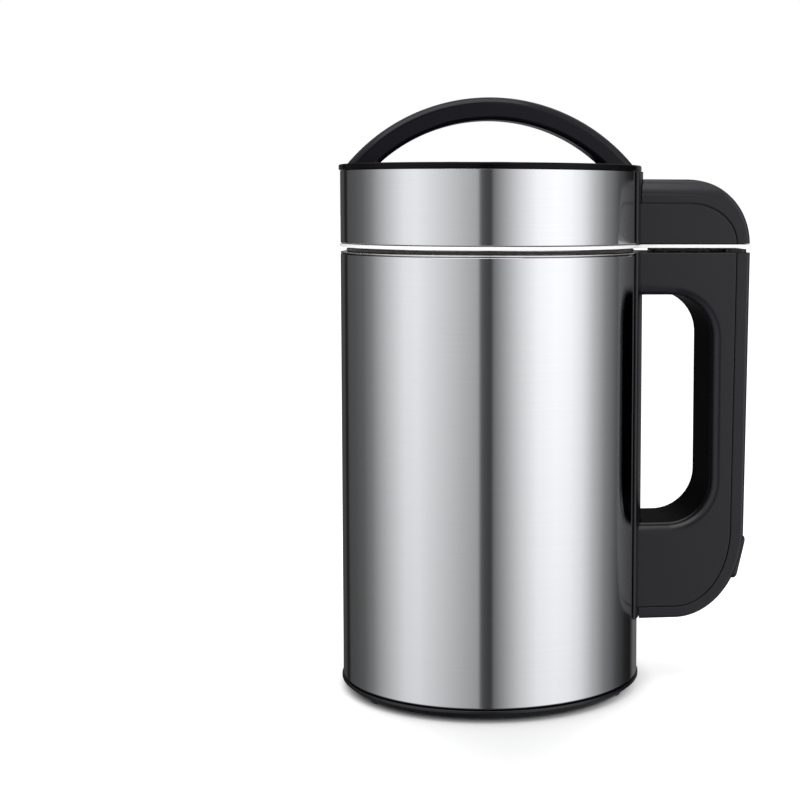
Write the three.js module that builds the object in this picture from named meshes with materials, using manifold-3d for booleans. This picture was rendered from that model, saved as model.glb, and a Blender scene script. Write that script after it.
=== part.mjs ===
// Soy milk maker: a double-walled steel jug with a D handle that carries the mains inlet, and a lift-off
// motor head with a long blade shaft, a power coupler over the handle and a folding carry bail.
// Millimetres, +Z up. The jug stands on z = 0, and the handle points along +X.
import * as THREE from "three";
import { mergeVertices } from "three/addons/utils/BufferGeometryUtils.js";
import Module from "manifold-3d";

const wasm = await Module();
wasm.setup();

// Driving dimensions of the whole appliance
const jugRadius = 70; // outside of the steel shell
const sheet = 0.8; // steel sheet of the shell, the cup and the skirt
const gap = 0.3; // clearance where one piece seats on another
const runningGap = 0.4; // clearance round what turns or slides
const overrun = 2; // how far a cutting tool runs past the face it cuts
const ringSides = 40; // facets round the large rings
const smallSides = 16; // facets round small turned pieces
const bossSides = 12; // facets round bosses and screws
const bevelSides = 3; // facets across a rounded edge

// Heights of the jug, upwards from the table
const footDrop = 1.5; // rubber feet below the base ring
const baseSkirt = 4.5; // black base ring below the steel
const shellBottom = footDrop + baseSkirt;
const shellHeight = 198.6;
const shellTop = shellBottom + shellHeight;
const rimThickness = 0.7; // flange of the cup that lies on the shell
const rimTop = shellTop + gap + rimThickness;

// Heights of the head, upwards from the rim
const sealThickness = 1.2;
const trimBottom = rimTop + gap + sealThickness + gap;
const trimThickness = 2;
const trimTop = trimBottom + trimThickness;
const skirtBottom = trimTop + gap;
const skirtHeight = 33.2;
const skirtTop = skirtBottom + skirtHeight;
const plateBottom = skirtTop + gap;
const plateThickness = 2.5;
const plateTop = plateBottom + plateThickness;
const plateOverhang = 0.64; // how far the top plate stands out past the steel
const plateRadius = jugRadius + plateOverhang;
const plateEdgeShare = 1 / 3; // of the plate's thickness, for its bevelled edge

// The handle's side view, shared by the jug's handle and the fairing on the head
const handleDepth = 49.7; // from the shell to the back of the handle
const handleReach = jugRadius + handleDepth;
const handleBottom = 33.3;
const handleTop = rimTop;
const handleWidth = 46;
const handleEdgeRadius = 3.4; // rounding along the outside of the handle
const lowerCornerReach = 32.6;
const lowerCornerRise = 41.7;
const upperCornerReach = 26.6;
const fairingDrop = 3.4; // top of the fairing below the top of the skirt
const upperCornerRise = skirtHeight - fairingDrop;
const coverBand = 8.1; // depth of the outer cover along the back, seen from the side
const bottomBandShare = 0.7; // the cover is shallower along the bottom
const topBandShare = 1.42; // and deeper along the top
const outlineInset = 30; // the outlines start inside the jug, which trims them
const outlineStart = jugRadius - outlineInset;
const handleWall = 2.2;
const flangeThickness = 1.1; // strip of the handle that hugs the shell
const flangeHalfAngle = 24; // degrees either side of the handle
const flangeRadius = jugRadius + gap + flangeThickness;
const outlineSides = 6; // facets in each corner of the handle's outline

// Finger opening
const openingInset = 18; // its outline starts inside the jug, which trims it
const openingStart = jugRadius - openingInset;
const inletLift = 27.2; // middle of the mains inlet above the bottom of the handle
const inletHeight = handleBottom + inletLift;
const openingLift = 19.5; // above the middle of the mains inlet
const openingBottom = inletHeight + openingLift;
const linerWall = 2;
const couplerDepth = 13; // power coupler over the opening
const couplerSpace = 1.6;
const openingTop = handleTop - couplerDepth - couplerSpace - handleWall - gap - linerWall;
const gripDepth = 17.9; // from the opening to the back of the handle
const openingReach = handleReach - gripDepth;
const openingCornerRadius = 20;
const lipRadius = 4.5; // rounded edge of the body round the opening

// Inner cup
const wallSpace = 8; // from the outside of the shell to the inside of the cup
const cupRadius = jugRadius - wallSpace;
const floorSpace = 16; // from the bottom of the shell to the inside of the cup's floor
const cupFloor = shellBottom + floorSpace;
const cupCornerRadius = 12;

// Motor housing of the head, which hangs in the cup
const housingWall = 1.6;
const housingFlangeRadius = jugRadius - sheet - runningGap;
const neckClearance = 2.2; // between the cup and the neck of the housing
const housingNeckRadius = cupRadius - neckClearance;
const motorDrop = 45; // from the skirt down to the ledge that the motor stands on
const motorLedge = skirtBottom - motorDrop;
const bayDepth = 7.3; // of the motor bay, up to the cone
const housingConeBottom = motorLedge + bayDepth;
const coneHeight = 18;
const housingNeckBottom = housingConeBottom + coneHeight;
const housingCorner = 5;

// Motor
const shaftRadius = 4;
const shaftOverhang = 1.7; // shaft above the upper bearing
const bearingRadius = 11;
const bearingWidth = 6;
const bearingSeatWall = 1.8;
const armatureRadius = 22;
const slotDepth = 5;
const windingRadius = armatureRadius - slotDepth;
const windingOverhang = 6;
const stackHeight = 30;
const stackBottom = motorLedge + gap;
const stackTop = stackBottom + stackHeight;
const windingBottom = stackBottom - windingOverhang;
const windingTop = stackTop + windingOverhang;
const airGap = 0.6;
const poleNeckWidth = 20;
const poleShoeDepth = 3.4;
const shoeHalfGap = 9; // half of the gap between the pole shoes
const shoeInner = armatureRadius + airGap;
const shoeOuter = shoeInner + poleShoeDepth;
const coilOverhang = 6;
const coilSideWidth = 6;
const coilDepth = 3.8;
const coilInner = poleNeckWidth / 2 + gap;
const coilOuter = coilInner + coilSideWidth;
const coilNear = shoeOuter + gap;
const coilFar = coilNear + coilDepth;
const coilClearance = 0.61; // keeps the coil's corners clear of the round yoke
const yokeFlat = Math.sqrt((coilFar + coilClearance) ** 2 + coilOuter ** 2);
const yokeInner = yokeFlat / Math.cos((2 * Math.PI) / ringSides);
const yokeThickness = 2.9;
const statorRadius = yokeInner + yokeThickness;
const motorBayRadius = statorRadius + gap + housingWall;
const ledgeWidth = 2;
const fanBayRadius = motorBayRadius - ledgeWidth;
const commutatorRadius = 11;
const commutatorHeight = 8;
const commutatorBottom = windingTop + gap;
const brushSpace = 4.7; // between the commutator and the bracket
const bracketBottom = commutatorBottom + commutatorHeight + brushSpace;
const bracketThickness = 3;
const bracketTop = bracketBottom + bracketThickness;
const bracketWidth = 16;
const shaftTop = bracketTop + gap + bearingWidth + shaftOverhang;
const fanInset = 5; // fan inside its bay
const fanRadius = fanBayRadius - fanInset;
const fanHeight = 7;
const fanDrop = 2; // fan below the windings
const fanBottom = windingBottom - fanDrop - fanHeight;
const fanRise = 2.1; // fan above the lower bearing
const housingBottom = fanBottom - fanRise - bearingWidth - gap - housingWall;
const fanBladeCount = 9;

// Blade end
const bladeRise = 20; // blade above the cup's floor
const bladeHeight = cupFloor + bladeRise;
const bladeRadius = 24;
const bladeThickness = 1.2;
const bladeArms = 4;
const bladeArmWidth = 11;
const armTipShare = 0.3;
const bladeHubRadius = 9;
const bladeBendInset = 1.6;
const bladeTilt = 24; // degrees up or down of each arm
const nutRadius = 6.3;
const nutHexHeight = 3.7;
const collarHeight = 3;
const collarRadius = 6.3;
const tubeRadius = 12;
const tubeWall = 1.2;
const tubeRise = 10; // end of the tube above the blade
const tubeBottom = bladeHeight + tubeRise;
const tubeTop = housingBottom - gap;
const tubeFlangeRadius = 17;
const tubeFlangeThickness = 1.8;
const sealHeight = 5;
const probeCircle = 27;
const probeRadius = 3;
const probeCollarWidth = 2.2;
const probeRise = 8; // end of the temperature probe above the end of the tube
const probeAngle = 150;
const overflowProbeRadius = 1.5;
const overflowProbeLength = 23.7;
const overflowProbeAngle = 300;

// Carry bail, which folds back into a channel of the top plate
const bailRise = 31.3; // top of the arch above the top plate
const bailFootInset = 3.17; // foot of the arch inside the steel
const bailFootReach = jugRadius - bailFootInset;
const bailRadius = (bailFootReach ** 2 + bailRise ** 2) / (2 * bailRise);
const bailCentreHeight = plateTop + bailRise - bailRadius;
const bailDepth = 10.5;
const bailWidth = 18;
const bailEdgeRadius = 1.6;
const bailEarInset = 4; // ears inside the steel
const bailEarOuter = jugRadius - bailEarInset;
const bailClearance = 0.6; // round the bail in its channel
const bailPivotHeight = plateTop - bailWidth / 2 - gap;
const bailPinRadius = 2.5;
const channelWall = 1.2;
const archSides = 16;

// Controls
const buttonRadius = 7.2;
const buttonRise = 1;
const buttonTravel = 0.8;
const buttonFlangeWidth = 1.4;
const buttonFlangeThickness = 1.2;
const buttonStemRadius = 2.4;
const buttonStemLength = 3;
const buttonCount = 3;
const lensRadius = 2.4;
const lensRise = 0.3;
const lensSink = 0.8;
const lensFlangeWidth = 1.6;
const lensFlangeThickness = 1.6;
const lensFlangeRadius = lensRadius + lensFlangeWidth;
const lensInset = 10; // lens inside the steel
const lensPitchRadius = jugRadius - lensInset;
const lensSeparation = 1.4; // between the flanges of the lens and the middle button
const buttonFlangeRadius = buttonRadius + buttonFlangeWidth;
const buttonPitchRadius = lensPitchRadius - lensFlangeRadius - lensSeparation - buttonFlangeRadius;
const buttonSeparation = 3.67; // between the buttons' flanges, along their circle
const buttonSpacing = 2 * buttonFlangeRadius + buttonSeparation;
const spigotDepth = 6;
const spigotWall = 2;
const boardInner = 16; // board's edges either side of the circle of the buttons
const boardOuter = 12;
const boardNear = buttonPitchRadius - boardInner;
const boardFar = buttonPitchRadius + boardOuter;
const boardMargin = 3.14; // between the board's corners and the spigot, along the board
const boardHalfLength = Math.sqrt((housingFlangeRadius - spigotWall) ** 2 - boardFar ** 2) - boardMargin;
const boardThickness = 1.6;
const boardDrop = 9.5; // board below the underside of the top plate
const pillarRadius = 2.6;
const pillarMargin = 5;
const pillarNearSpread = 10;
const switchSide = 6;

// Mains inlet in the back of the handle
const inletTilt = 13; // degrees that its axis points below the horizontal
const inletProud = 0.25; // face of the inlet past the cover
const inletDrop = lowerCornerRise - inletLift;
const inletCornerShare = Math.sqrt(1 - (inletDrop / lowerCornerRise) ** 2);
const inletReach = handleReach - lowerCornerReach * (1 - inletCornerShare) + inletProud;
const inletWidth = 27;
const inletRise = 18.6;
const inletDepth = 19;
const inletWall = 1.5;
const inletBezel = 1.2; // overhang of the bezel over the cover
const bezelThickness = 1.8;
const inletCornerRadius = 3;
const bladePinWidth = 4;
const bladePinThickness = 2;
const bladePinSpacing = 7;
const bladePinOffset = 2;
const bladePinRecess = 4; // from the face of the inlet to the tips
const tabLength = 3;
const leadRadius = 2.6;
const leadSteps = 20;

// Power coupler on top of the handle
const couplerInset = 8; // from the shell to the coupler
const couplerSeamMargin = 5.6; // from the coupler to the seam of the cover
const couplerStart = jugRadius + couplerInset;
const couplerEnd = handleReach - coverBand - couplerSeamMargin;
const couplerLength = couplerEnd - couplerStart;
const couplerX = (couplerStart + couplerEnd) / 2;
const couplerWidth = 20;
const couplerFloor = 2; // under the contact holes
const couplerStep = 1.6;
const couplerEndWall = 1.25;
const couplerPinRadius = 1.9;
const couplerPinSpacing = (couplerLength - 2 * couplerEndWall) / 3;
const couplerPinTipSpace = 2; // under the pins in their holes
const couplerPinInset = 0.1; // tops of the pins inside the plug
const couplerNoseDrop = 0.9; // nose of the plug below the trim ring

// Materials
const material = (color, roughness, metalness) =>
  new THREE.MeshStandardMaterial({ color, roughness, metalness });
const brushedSteel = material(0xb9bbbd, 0.32, 1);
const polishedSteel = material(0xd5d6d8, 0.12, 1);
const blackPlastic = material(0x2b2b30, 0.42, 0);
const glossBlack = material(0x0c0c0e, 0.12, 0);
const bailPlastic = material(0x1d1c24, 0.38, 0);
const whitePlastic = material(0xf1f1f0, 0.3, 0);
const blackRubber = material(0x161616, 0.8, 0);
const sealSilicone = material(0x2a2927, 0.6, 0);
const aluminium = material(0xb4b6b8, 0.45, 1);
const laminatedIron = material(0x6d6f72, 0.55, 1);
const copper = material(0xb5652b, 0.4, 1);
const brass = material(0xc9a75a, 0.3, 1);
const boardGreen = material(0x1d5a35, 0.5, 0);
const buttonGrey = material(0xb9bcc0, 0.35, 0);
const lensBlue = material(0x9fc4dd, 0.1, 0);
const carbon = material(0x2f2f31, 0.7, 0);
const cableGrey = material(0x55565a, 0.6, 0);

const radians = THREE.MathUtils.degToRad;

// Solids
function toSolid(geometry) {
  const bare = geometry.index ? geometry.toNonIndexed() : geometry.clone();
  for (const name of ["normal", "uv"]) bare.deleteAttribute(name);
  const merged = mergeVertices(bare, 1e-4);
  const vertProperties = merged.attributes.position.array;
  const triVerts = new Uint32Array(merged.index.array);
  return new wasm.Manifold(new wasm.Mesh({ numProp: 3, vertProperties, triVerts }));
}

function toGeometry(solid) {
  const mesh = solid.getMesh();
  const geometry = new THREE.BufferGeometry();
  geometry.setAttribute("position", new THREE.BufferAttribute(mesh.vertProperties, 3));
  geometry.setIndex(new THREE.BufferAttribute(mesh.triVerts, 1));
  return geometry;
}

const cut = (body, ...tools) => tools.reduce((left, tool) => left.subtract(tool), body);
const join = (body, ...others) => others.reduce((sum, other) => sum.add(other), body);

// A profile of [radius, height] points, anticlockwise, turned about the Z axis
function turned(points, sides = ringSides) {
  const closed = [...points, points[0]].map(([radius, height]) => new THREE.Vector2(radius, height));
  return toSolid(new THREE.LatheGeometry(closed, sides).rotateX(Math.PI / 2));
}

function disc(radius, bottom, top, sides = smallSides) {
  const axisRadius = 0;
  return turned([[axisRadius, bottom], [radius, bottom], [radius, top], [axisRadius, top]], sides);
}

function ring(inner, outer, bottom, top, sides = smallSides) {
  return turned([[inner, bottom], [outer, bottom], [outer, top], [inner, top]], sides);
}

function box(x0, x1, y0, y1, z0, z1) {
  const geometry = new THREE.BoxGeometry(x1 - x0, y1 - y0, z1 - z0);
  return toSolid(geometry.translate((x0 + x1) / 2, (y0 + y1) / 2, (z0 + z1) / 2));
}

// A shape in plan, raised from bottom to top
function raised(shape, bottom, top, curveSegments = outlineSides) {
  const options = { depth: top - bottom, bevelEnabled: false, curveSegments };
  return toSolid(new THREE.ExtrudeGeometry(shape, options).translate(0, 0, bottom));
}

// A shape drawn as (x, z) in the side view, with its thickness along Y
function sideways(shape, width, bevel = 0, curveSegments = outlineSides) {
  const options = {
    depth: width - 2 * bevel,
    bevelEnabled: bevel > 0,
    bevelThickness: bevel,
    bevelSize: bevel,
    bevelOffset: -bevel,
    bevelSegments: bevelSides,
    curveSegments,
  };
  const geometry = new THREE.ExtrudeGeometry(shape, options).translate(0, 0, bevel - width / 2);
  return toSolid(geometry.rotateX(Math.PI / 2));
}

function roundedRectangle(x0, x1, y0, y1, radius) {
  const shape = new THREE.Shape();
  shape.absarc(x1 - radius, y0 + radius, radius, -Math.PI / 2, 0, false);
  shape.absarc(x1 - radius, y1 - radius, radius, 0, Math.PI / 2, false);
  shape.absarc(x0 + radius, y1 - radius, radius, Math.PI / 2, Math.PI, false);
  shape.absarc(x0 + radius, y0 + radius, radius, Math.PI, Math.PI * 1.5, false);
  shape.closePath();
  return shape;
}

const appliance = new THREE.Group();

function add(name, solid, look, parent = appliance) {
  const mesh = new THREE.Mesh(toGeometry(solid), look);
  mesh.name = name;
  parent.add(mesh);
  return mesh;
}

// Steel shell with a curled bottom edge, and holes for the two handle screws and the leads
const screwBossRadius = 4;
const screwBossClearance = 1.03; // boss above the seam along the bottom
const lowerScrewRise = coverBand * bottomBandShare + screwBossClearance + screwBossRadius;
const upperScrewDrop = 10.1; // below the top of the handle
const handleScrewHeights = [handleBottom + lowerScrewRise, handleTop - upperScrewDrop];
const handleScrewRadius = 2;
const shellCurl = 2.4;
function jugShell() {
  const inner = jugRadius - sheet;
  const shell = turned([
    [jugRadius - shellCurl, shellBottom],
    [jugRadius - sheet, shellBottom],
    [jugRadius, shellBottom + sheet],
    [jugRadius, shellTop],
    [inner, shellTop],
    [inner, shellBottom + sheet],
    [jugRadius - shellCurl, shellBottom + sheet],
  ]);
  const holes = handleScrewHeights.map((height) =>
    alongX(handleScrewRadius + runningGap, inner - overrun, jugRadius + overrun, height),
  );
  return cut(shell, ...holes);
}

// A round bar along X, at y = 0
function alongX(radius, x0, x1, z, sides = bossSides) {
  const geometry = new THREE.CylinderGeometry(radius, radius, x1 - x0, sides);
  return toSolid(geometry.rotateZ(Math.PI / 2).translate((x0 + x1) / 2, 0, z));
}

add("jug_shell", jugShell(), brushedSteel);

// Deep-drawn cup with a round corner and a rolled flange over the shell
const cupCornerSteps = 4;
function cupProfile() {
  const outer = cupRadius + sheet;
  const corner = (radius, z0, reversed) => {
    const steps = Array.from({ length: cupCornerSteps + 1 }, (_, i) => i / cupCornerSteps);
    const points = steps.map((share) => {
      const angle = (share * Math.PI) / 2;
      const middle = cupRadius - cupCornerRadius;
      return [middle + radius * Math.sin(angle), z0 + cupCornerRadius - radius * Math.cos(angle)];
    });
    return reversed ? points.reverse() : points;
  };
  const rimOuter = jugRadius;
  return [
    [0, cupFloor - sheet],
    ...corner(cupCornerRadius + sheet, cupFloor, false),
    [outer, shellTop + gap],
    [rimOuter - rimThickness / 2, shellTop + gap],
    [rimOuter, shellTop + gap + rimThickness / 2],
    [rimOuter - rimThickness / 2, rimTop],
    [cupRadius + rimThickness, rimTop],
    [cupRadius, rimTop - rimThickness],
    ...corner(cupCornerRadius, cupFloor, true),
    [0, cupFloor],
  ];
}
add("inner_cup", turned(cupProfile()), polishedSteel);

// Heating plate, tubular element and cut-out under the cup
const heaterPlateRadius = cupRadius - cupCornerRadius;
const heaterPlateThickness = 3;
const heaterPlateTop = cupFloor - sheet - gap;
const heaterPlateBottom = heaterPlateTop - heaterPlateThickness;
add("heater_plate", disc(heaterPlateRadius, heaterPlateBottom, heaterPlateTop, ringSides), aluminium);

const elementTubeRadius = 3.4;
const elementInset = 14; // element inside the plate's edge
const elementRadius = heaterPlateRadius - elementInset;
const elementSweep = 300; // degrees
const elementSteps = 20;
function heaterElement() {
  const height = heaterPlateBottom - gap - elementTubeRadius;
  const start = radians((360 - elementSweep) / 2);
  const points = Array.from({ length: elementSteps + 1 }, (_, i) => {
    const angle = start + (radians(elementSweep) * i) / elementSteps;
    return new THREE.Vector3(elementRadius * Math.cos(angle), elementRadius * Math.sin(angle), height);
  });
  return tube(points, elementTubeRadius, elementSteps);
}

// A closed round bar along a smooth curve through points
function tube(points, radius, steps, sides = 4) {
  const section = new THREE.Shape();
  section.absarc(0, 0, radius, 0, Math.PI * 2, false);
  const extrudePath = new THREE.CatmullRomCurve3(points);
  const options = { steps, curveSegments: sides, bevelEnabled: false, extrudePath };
  return toSolid(new THREE.ExtrudeGeometry(section, options));
}
add("heater_element", heaterElement(), laminatedIron);

const thermostatRadius = 8;
const thermostatHeight = 7;
const thermostatTop = heaterPlateBottom - gap;
const thermostat = disc(thermostatRadius, thermostatTop - thermostatHeight, thermostatTop);
add("thermostat", thermostat, blackPlastic);

// Base ring round the bottom of the shell, with feet, screw bosses and a bottom cover
const baseLip = 0.6; // how far the ring stands out past the steel
const baseTaper = 3.2; // drawing in of the ring at its foot
const baseFootRadius = jugRadius - baseTaper;
const baseFootWidth = 8.8;
const baseInnerRadius = baseFootRadius - baseFootWidth;
const baseFloor = 2.2;
const basePlateRecess = 1.5;
const basePlateBottom = footDrop + basePlateRecess;
const basePlateThickness = 1.8;
const basePlateTop = basePlateBottom + basePlateThickness;
const basePlateRadius = baseInnerRadius - gap;
const shelfThickness = 1.8;
const shelfWidth = 10;
const shelfRadius = baseInnerRadius - shelfWidth;
const upstandHeight = 6;
const screwCircle = baseInnerRadius - shelfWidth / 2;
const screwShankRadius = 1.5;
const screwHeadRadius = 3;
const screwHeadHeight = 1.1;
const screwLength = 8;
const screwCount = 3;
const footCircle = baseFootRadius - baseFootWidth / 2;
const footRadius = 3.9;
const footStemRadius = 1.6;
const footStemRise = 2.6;
const footCount = 3;
const footOffsetShare = 0.75; // of a step round, so that no foot stands at the very front

const aroundCircle = (count, index, offsetShare) => (2 * Math.PI * (index + offsetShare)) / count;

function placed(solid, radius, angle) {
  return solid.translate([radius * Math.cos(angle), radius * Math.sin(angle), 0]);
}

function baseRing() {
  const shelfBottom = basePlateTop + gap;
  const upstandOuter = jugRadius - sheet - gap;
  const upstandBottom = shellBottom + sheet + gap;
  const curlInner = jugRadius - shellCurl - gap;
  const ringBody = turned([
    [shelfRadius, shelfBottom],
    [baseInnerRadius, shelfBottom],
    [baseInnerRadius, footDrop],
    [baseFootRadius, footDrop],
    [jugRadius + baseLip, shellBottom - gap - 2 * baseLip],
    [jugRadius + baseLip, shellBottom - gap],
    [curlInner, shellBottom - gap],
    [curlInner, upstandBottom],
    [upstandOuter, upstandBottom],
    [upstandOuter, upstandBottom + upstandHeight],
    [upstandOuter - baseFloor, upstandBottom + upstandHeight],
    [curlInner - baseFloor, shelfBottom + shelfThickness],
    [shelfRadius, shelfBottom + shelfThickness],
  ]);
  const bossTop = basePlateBottom + screwLength;
  const bossRadius = screwShankRadius + gap + baseFloor;
  const bosses = [];
  const holes = [];
  for (let i = 0; i < screwCount; i++) {
    const angle = aroundCircle(screwCount, i, 0.5);
    bosses.push(placed(disc(bossRadius, shelfBottom, bossTop, bossSides), screwCircle, angle));
    const hole = disc(screwShankRadius + gap, footDrop, bossTop + overrun, bossSides);
    holes.push(placed(hole, screwCircle, angle));
  }
  for (let i = 0; i < footCount; i++) {
    const hole = disc(footStemRadius + gap, -overrun, footDrop + gap + footStemRise, bossSides);
    holes.push(placed(hole, footCircle, aroundCircle(footCount, i, footOffsetShare)));
  }
  return cut(join(ringBody, ...bosses), ...holes);
}
add("base_ring", baseRing(), blackPlastic);

function basePlate() {
  const holes = Array.from({ length: screwCount }, (_, i) => {
    const hole = disc(screwShankRadius + gap, footDrop, basePlateTop + overrun, bossSides);
    return placed(hole, screwCircle, aroundCircle(screwCount, i, 0.5));
  });
  return cut(disc(basePlateRadius, basePlateBottom, basePlateTop, ringSides), ...holes);
}
add("base_plate", basePlate(), blackPlastic);

for (let i = 0; i < screwCount; i++) {
  const headTop = basePlateBottom - gap;
  const screw = turned(
    [
      [0, headTop - screwHeadHeight],
      [screwHeadRadius, headTop - screwHeadHeight],
      [screwHeadRadius, headTop],
      [screwShankRadius, headTop],
      [screwShankRadius, headTop + screwLength],
      [0, headTop + screwLength],
    ],
    bossSides,
  );
  add(`base_screw_${i + 1}`, placed(screw, screwCircle, aroundCircle(screwCount, i, 0.5)), polishedSteel);
}

for (let i = 0; i < footCount; i++) {
  const footTop = footDrop - gap;
  const foot = turned(
    [
      [0, 0],
      [footRadius - gap, 0],
      [footRadius, footTop],
      [footStemRadius, footTop],
      [footStemRadius, footTop + footStemRise],
      [0, footTop + footStemRise],
    ],
    bossSides,
  );
  add(`foot_${i + 1}`, placed(foot, footCircle, aroundCircle(footCount, i, footOffsetShare)), blackRubber);
}

// Outlines of the handle and the fairing in the side view, drawn in by an inset
function handleOutline(inset, top, start = outlineStart) {
  const bottomInset = inset * bottomBandShare;
  const shape = new THREE.Shape();
  shape.moveTo(start, top);
  shape.lineTo(start, handleBottom + bottomInset);
  const centreX = handleReach - lowerCornerReach;
  const centreZ = handleBottom + lowerCornerRise;
  const reach = lowerCornerReach - inset;
  shape.absellipse(centreX, centreZ, reach, lowerCornerRise - bottomInset, -Math.PI / 2, 0, false);
  shape.lineTo(handleReach - inset, top);
  shape.closePath();
  return shape;
}

// The fairing's outline runs on below the fairing, and is trimmed by a level
function fairingOutline(inset) {
  const bottom = skirtBottom - handleEdgeRadius - overrun;
  const shape = new THREE.Shape();
  shape.moveTo(outlineStart, bottom);
  shape.lineTo(handleReach - inset, bottom);
  const centreX = handleReach - upperCornerReach;
  const reach = upperCornerReach - inset;
  const rise = upperCornerRise - inset * topBandShare;
  shape.absellipse(centreX, skirtBottom, reach, rise, 0, Math.PI / 2, false);
  shape.lineTo(outlineStart, skirtBottom + rise);
  shape.closePath();
  return shape;
}

function openingOutline(offset, start = openingStart) {
  const shape = new THREE.Shape();
  const radius = openingCornerRadius + offset;
  const centreX = openingReach - openingCornerRadius;
  shape.moveTo(start, openingBottom - offset);
  shape.lineTo(centreX, openingBottom - offset);
  shape.absarc(centreX, openingBottom + openingCornerRadius, radius, -Math.PI / 2, 0, false);
  shape.absarc(centreX, openingTop - openingCornerRadius, radius, 0, Math.PI / 2, false);
  shape.lineTo(start, openingTop + offset);
  shape.closePath();
  return shape;
}

const above = (level) => box(0, everything, -handleWidth, handleWidth, level, plateTop + overrun);
const below = (level) => box(0, everything, -handleWidth, handleWidth, 0, level);
const jugSpace = (radius) => disc(radius, -overrun, plateTop, ringSides);
const everything = jugRadius + handleReach;

// Strip that hugs the shell or the skirt on either side of the handle
function flange(bottom, top) {
  const wedge = new THREE.Shape();
  const halfSpread = everything * Math.tan(radians(flangeHalfAngle));
  wedge.moveTo(0, 0);
  wedge.lineTo(everything, -halfSpread);
  wedge.lineTo(everything, halfSpread);
  wedge.closePath();
  const hoop = ring(jugRadius + gap, flangeRadius, bottom, top, ringSides);
  return hoop.intersect(raised(wedge, bottom, top));
}

// Handle body: hollow towards the cover, with a rounded lip round the finger opening
const coverSeam = coverBand;
const screwBossSpace = 1; // between the boss and the power coupler
const screwBossEnd = couplerStart - screwBossSpace;
const leadHoleRadius = 3.5;
const leadHoleRise = 22.7; // above the bottom of the handle
const leadHoleHeight = handleBottom + leadHoleRise;
function handleBody() {
  const lipMargin = lipRadius + overrun;
  const block = handleOutline(coverSeam - lipMargin, handleTop + lipMargin, outlineStart - lipMargin);
  block.holes.push(openingOutline(0));
  const rounded = sideways(block, handleWidth, lipRadius);
  const trimmed = rounded.intersect(sideways(handleOutline(coverSeam, handleTop), handleWidth + overrun));
  const behindLiner = linerWall + gap;
  const hollow = handleOutline(coverSeam - overrun, handleTop - handleWall);
  const clear = sideways(openingOutline(behindLiner + handleWall), handleWidth + overrun);
  const cavity = cut(
    sideways(hollow, handleWidth - 2 * handleWall),
    clear,
    jugSpace(flangeRadius + handleWall),
  );
  const groove = sideways(openingOutline(behindLiner), handleWidth - 2 * lipRadius + 2 * gap);
  const bosses = handleScrewHeights.map((height) =>
    alongX(screwBossRadius, flangeRadius, screwBossEnd, height),
  );
  const shellSide = cut(join(cut(trimmed, cavity, groove), ...bosses), jugSpace(jugRadius + gap));
  const holes = handleScrewHeights.map((height) =>
    alongX(handleScrewRadius + gap, jugRadius - overrun, screwBossEnd + overrun, height),
  );
  const leadHole = alongX(leadHoleRadius, jugRadius - overrun, screwBossEnd, leadHoleHeight);
  const socketHole = couplerBlock(gap, handleTop - handleWall - overrun, handleTop + overrun);
  return cut(join(shellSide, flange(handleBottom, handleTop)), socketHole, leadHole, ...holes);
}

// Upright block at the power coupler, grown all round
function couplerBlock(growth, bottom, top) {
  const halfLength = couplerLength / 2 + growth;
  const halfWidth = couplerWidth / 2 + growth;
  return box(couplerX - halfLength, couplerX + halfLength, -halfWidth, halfWidth, bottom, top);
}
add("handle_body", handleBody(), blackPlastic);

// Outer cover of the handle: a channel that follows the back and the bottom
function handleCover() {
  const endMargin = handleEdgeRadius + overrun;
  const outer = sideways(handleOutline(0, handleTop + endMargin), handleWidth, handleEdgeRadius);
  const bodyOutline = handleOutline(coverSeam - gap, handleTop + endMargin);
  const bodySpace = sideways(bodyOutline, handleWidth + overrun);
  const innerRadius = handleEdgeRadius - handleWall;
  const hollow = sideways(
    handleOutline(handleWall, handleTop - handleWall),
    handleWidth - 2 * handleWall,
    innerRadius,
  );
  const cavity = cut(hollow, jugSpace(flangeRadius + gap + handleWall));
  const inletHole = inletBlock(gap, -inletDepth - overrun, overrun);
  const bezelSeat = inletBlock(inletBezel + gap, -bezelThickness - gap, overrun);
  const channel = cut(outer, bodySpace, cavity, jugSpace(flangeRadius + gap), above(handleTop));
  return cut(channel, inletHole, bezelSeat);
}

// Block on the inlet's tilted axis, from one depth to another, grown all round
function inletBlock(growth, inside, outside, radius = inletCornerRadius) {
  const halfWidth = inletWidth / 2 + growth;
  const halfRise = inletRise / 2 + growth;
  const shape = roundedRectangle(-halfRise, halfRise, -halfWidth, halfWidth, radius);
  const options = { depth: outside - inside, bevelEnabled: false, curveSegments: bevelSides };
  const geometry = new THREE.ExtrudeGeometry(shape, options).translate(0, 0, inside);
  return toSolid(onInletAxis(geometry.rotateY(Math.PI / 2)));
}

function onInletAxis(geometry) {
  return geometry.rotateY(radians(inletTilt)).translate(inletReach, 0, inletHeight);
}
add("handle_cover", handleCover(), blackPlastic);

// Glossy liner in the finger opening
function gripLiner() {
  const frame = openingOutline(linerWall);
  frame.holes.push(openingOutline(0, openingStart + overrun));
  const width = handleWidth - 2 * lipRadius;
  return cut(sideways(frame, width), jugSpace(flangeRadius + gap));
}
add("grip_liner", gripLiner(), glossBlack);

// Screws that hold the handle, driven from inside the shell
handleScrewHeights.forEach((height, i) => {
  const bearing = jugRadius - sheet - gap;
  const head = alongX(screwHeadRadius + gap, bearing - screwHeadHeight, bearing, height);
  const shank = alongX(handleScrewRadius, bearing - gap, screwBossEnd - gap, height);
  add(`handle_screw_${i + 1}`, join(head, shank), polishedSteel);
});

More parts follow.
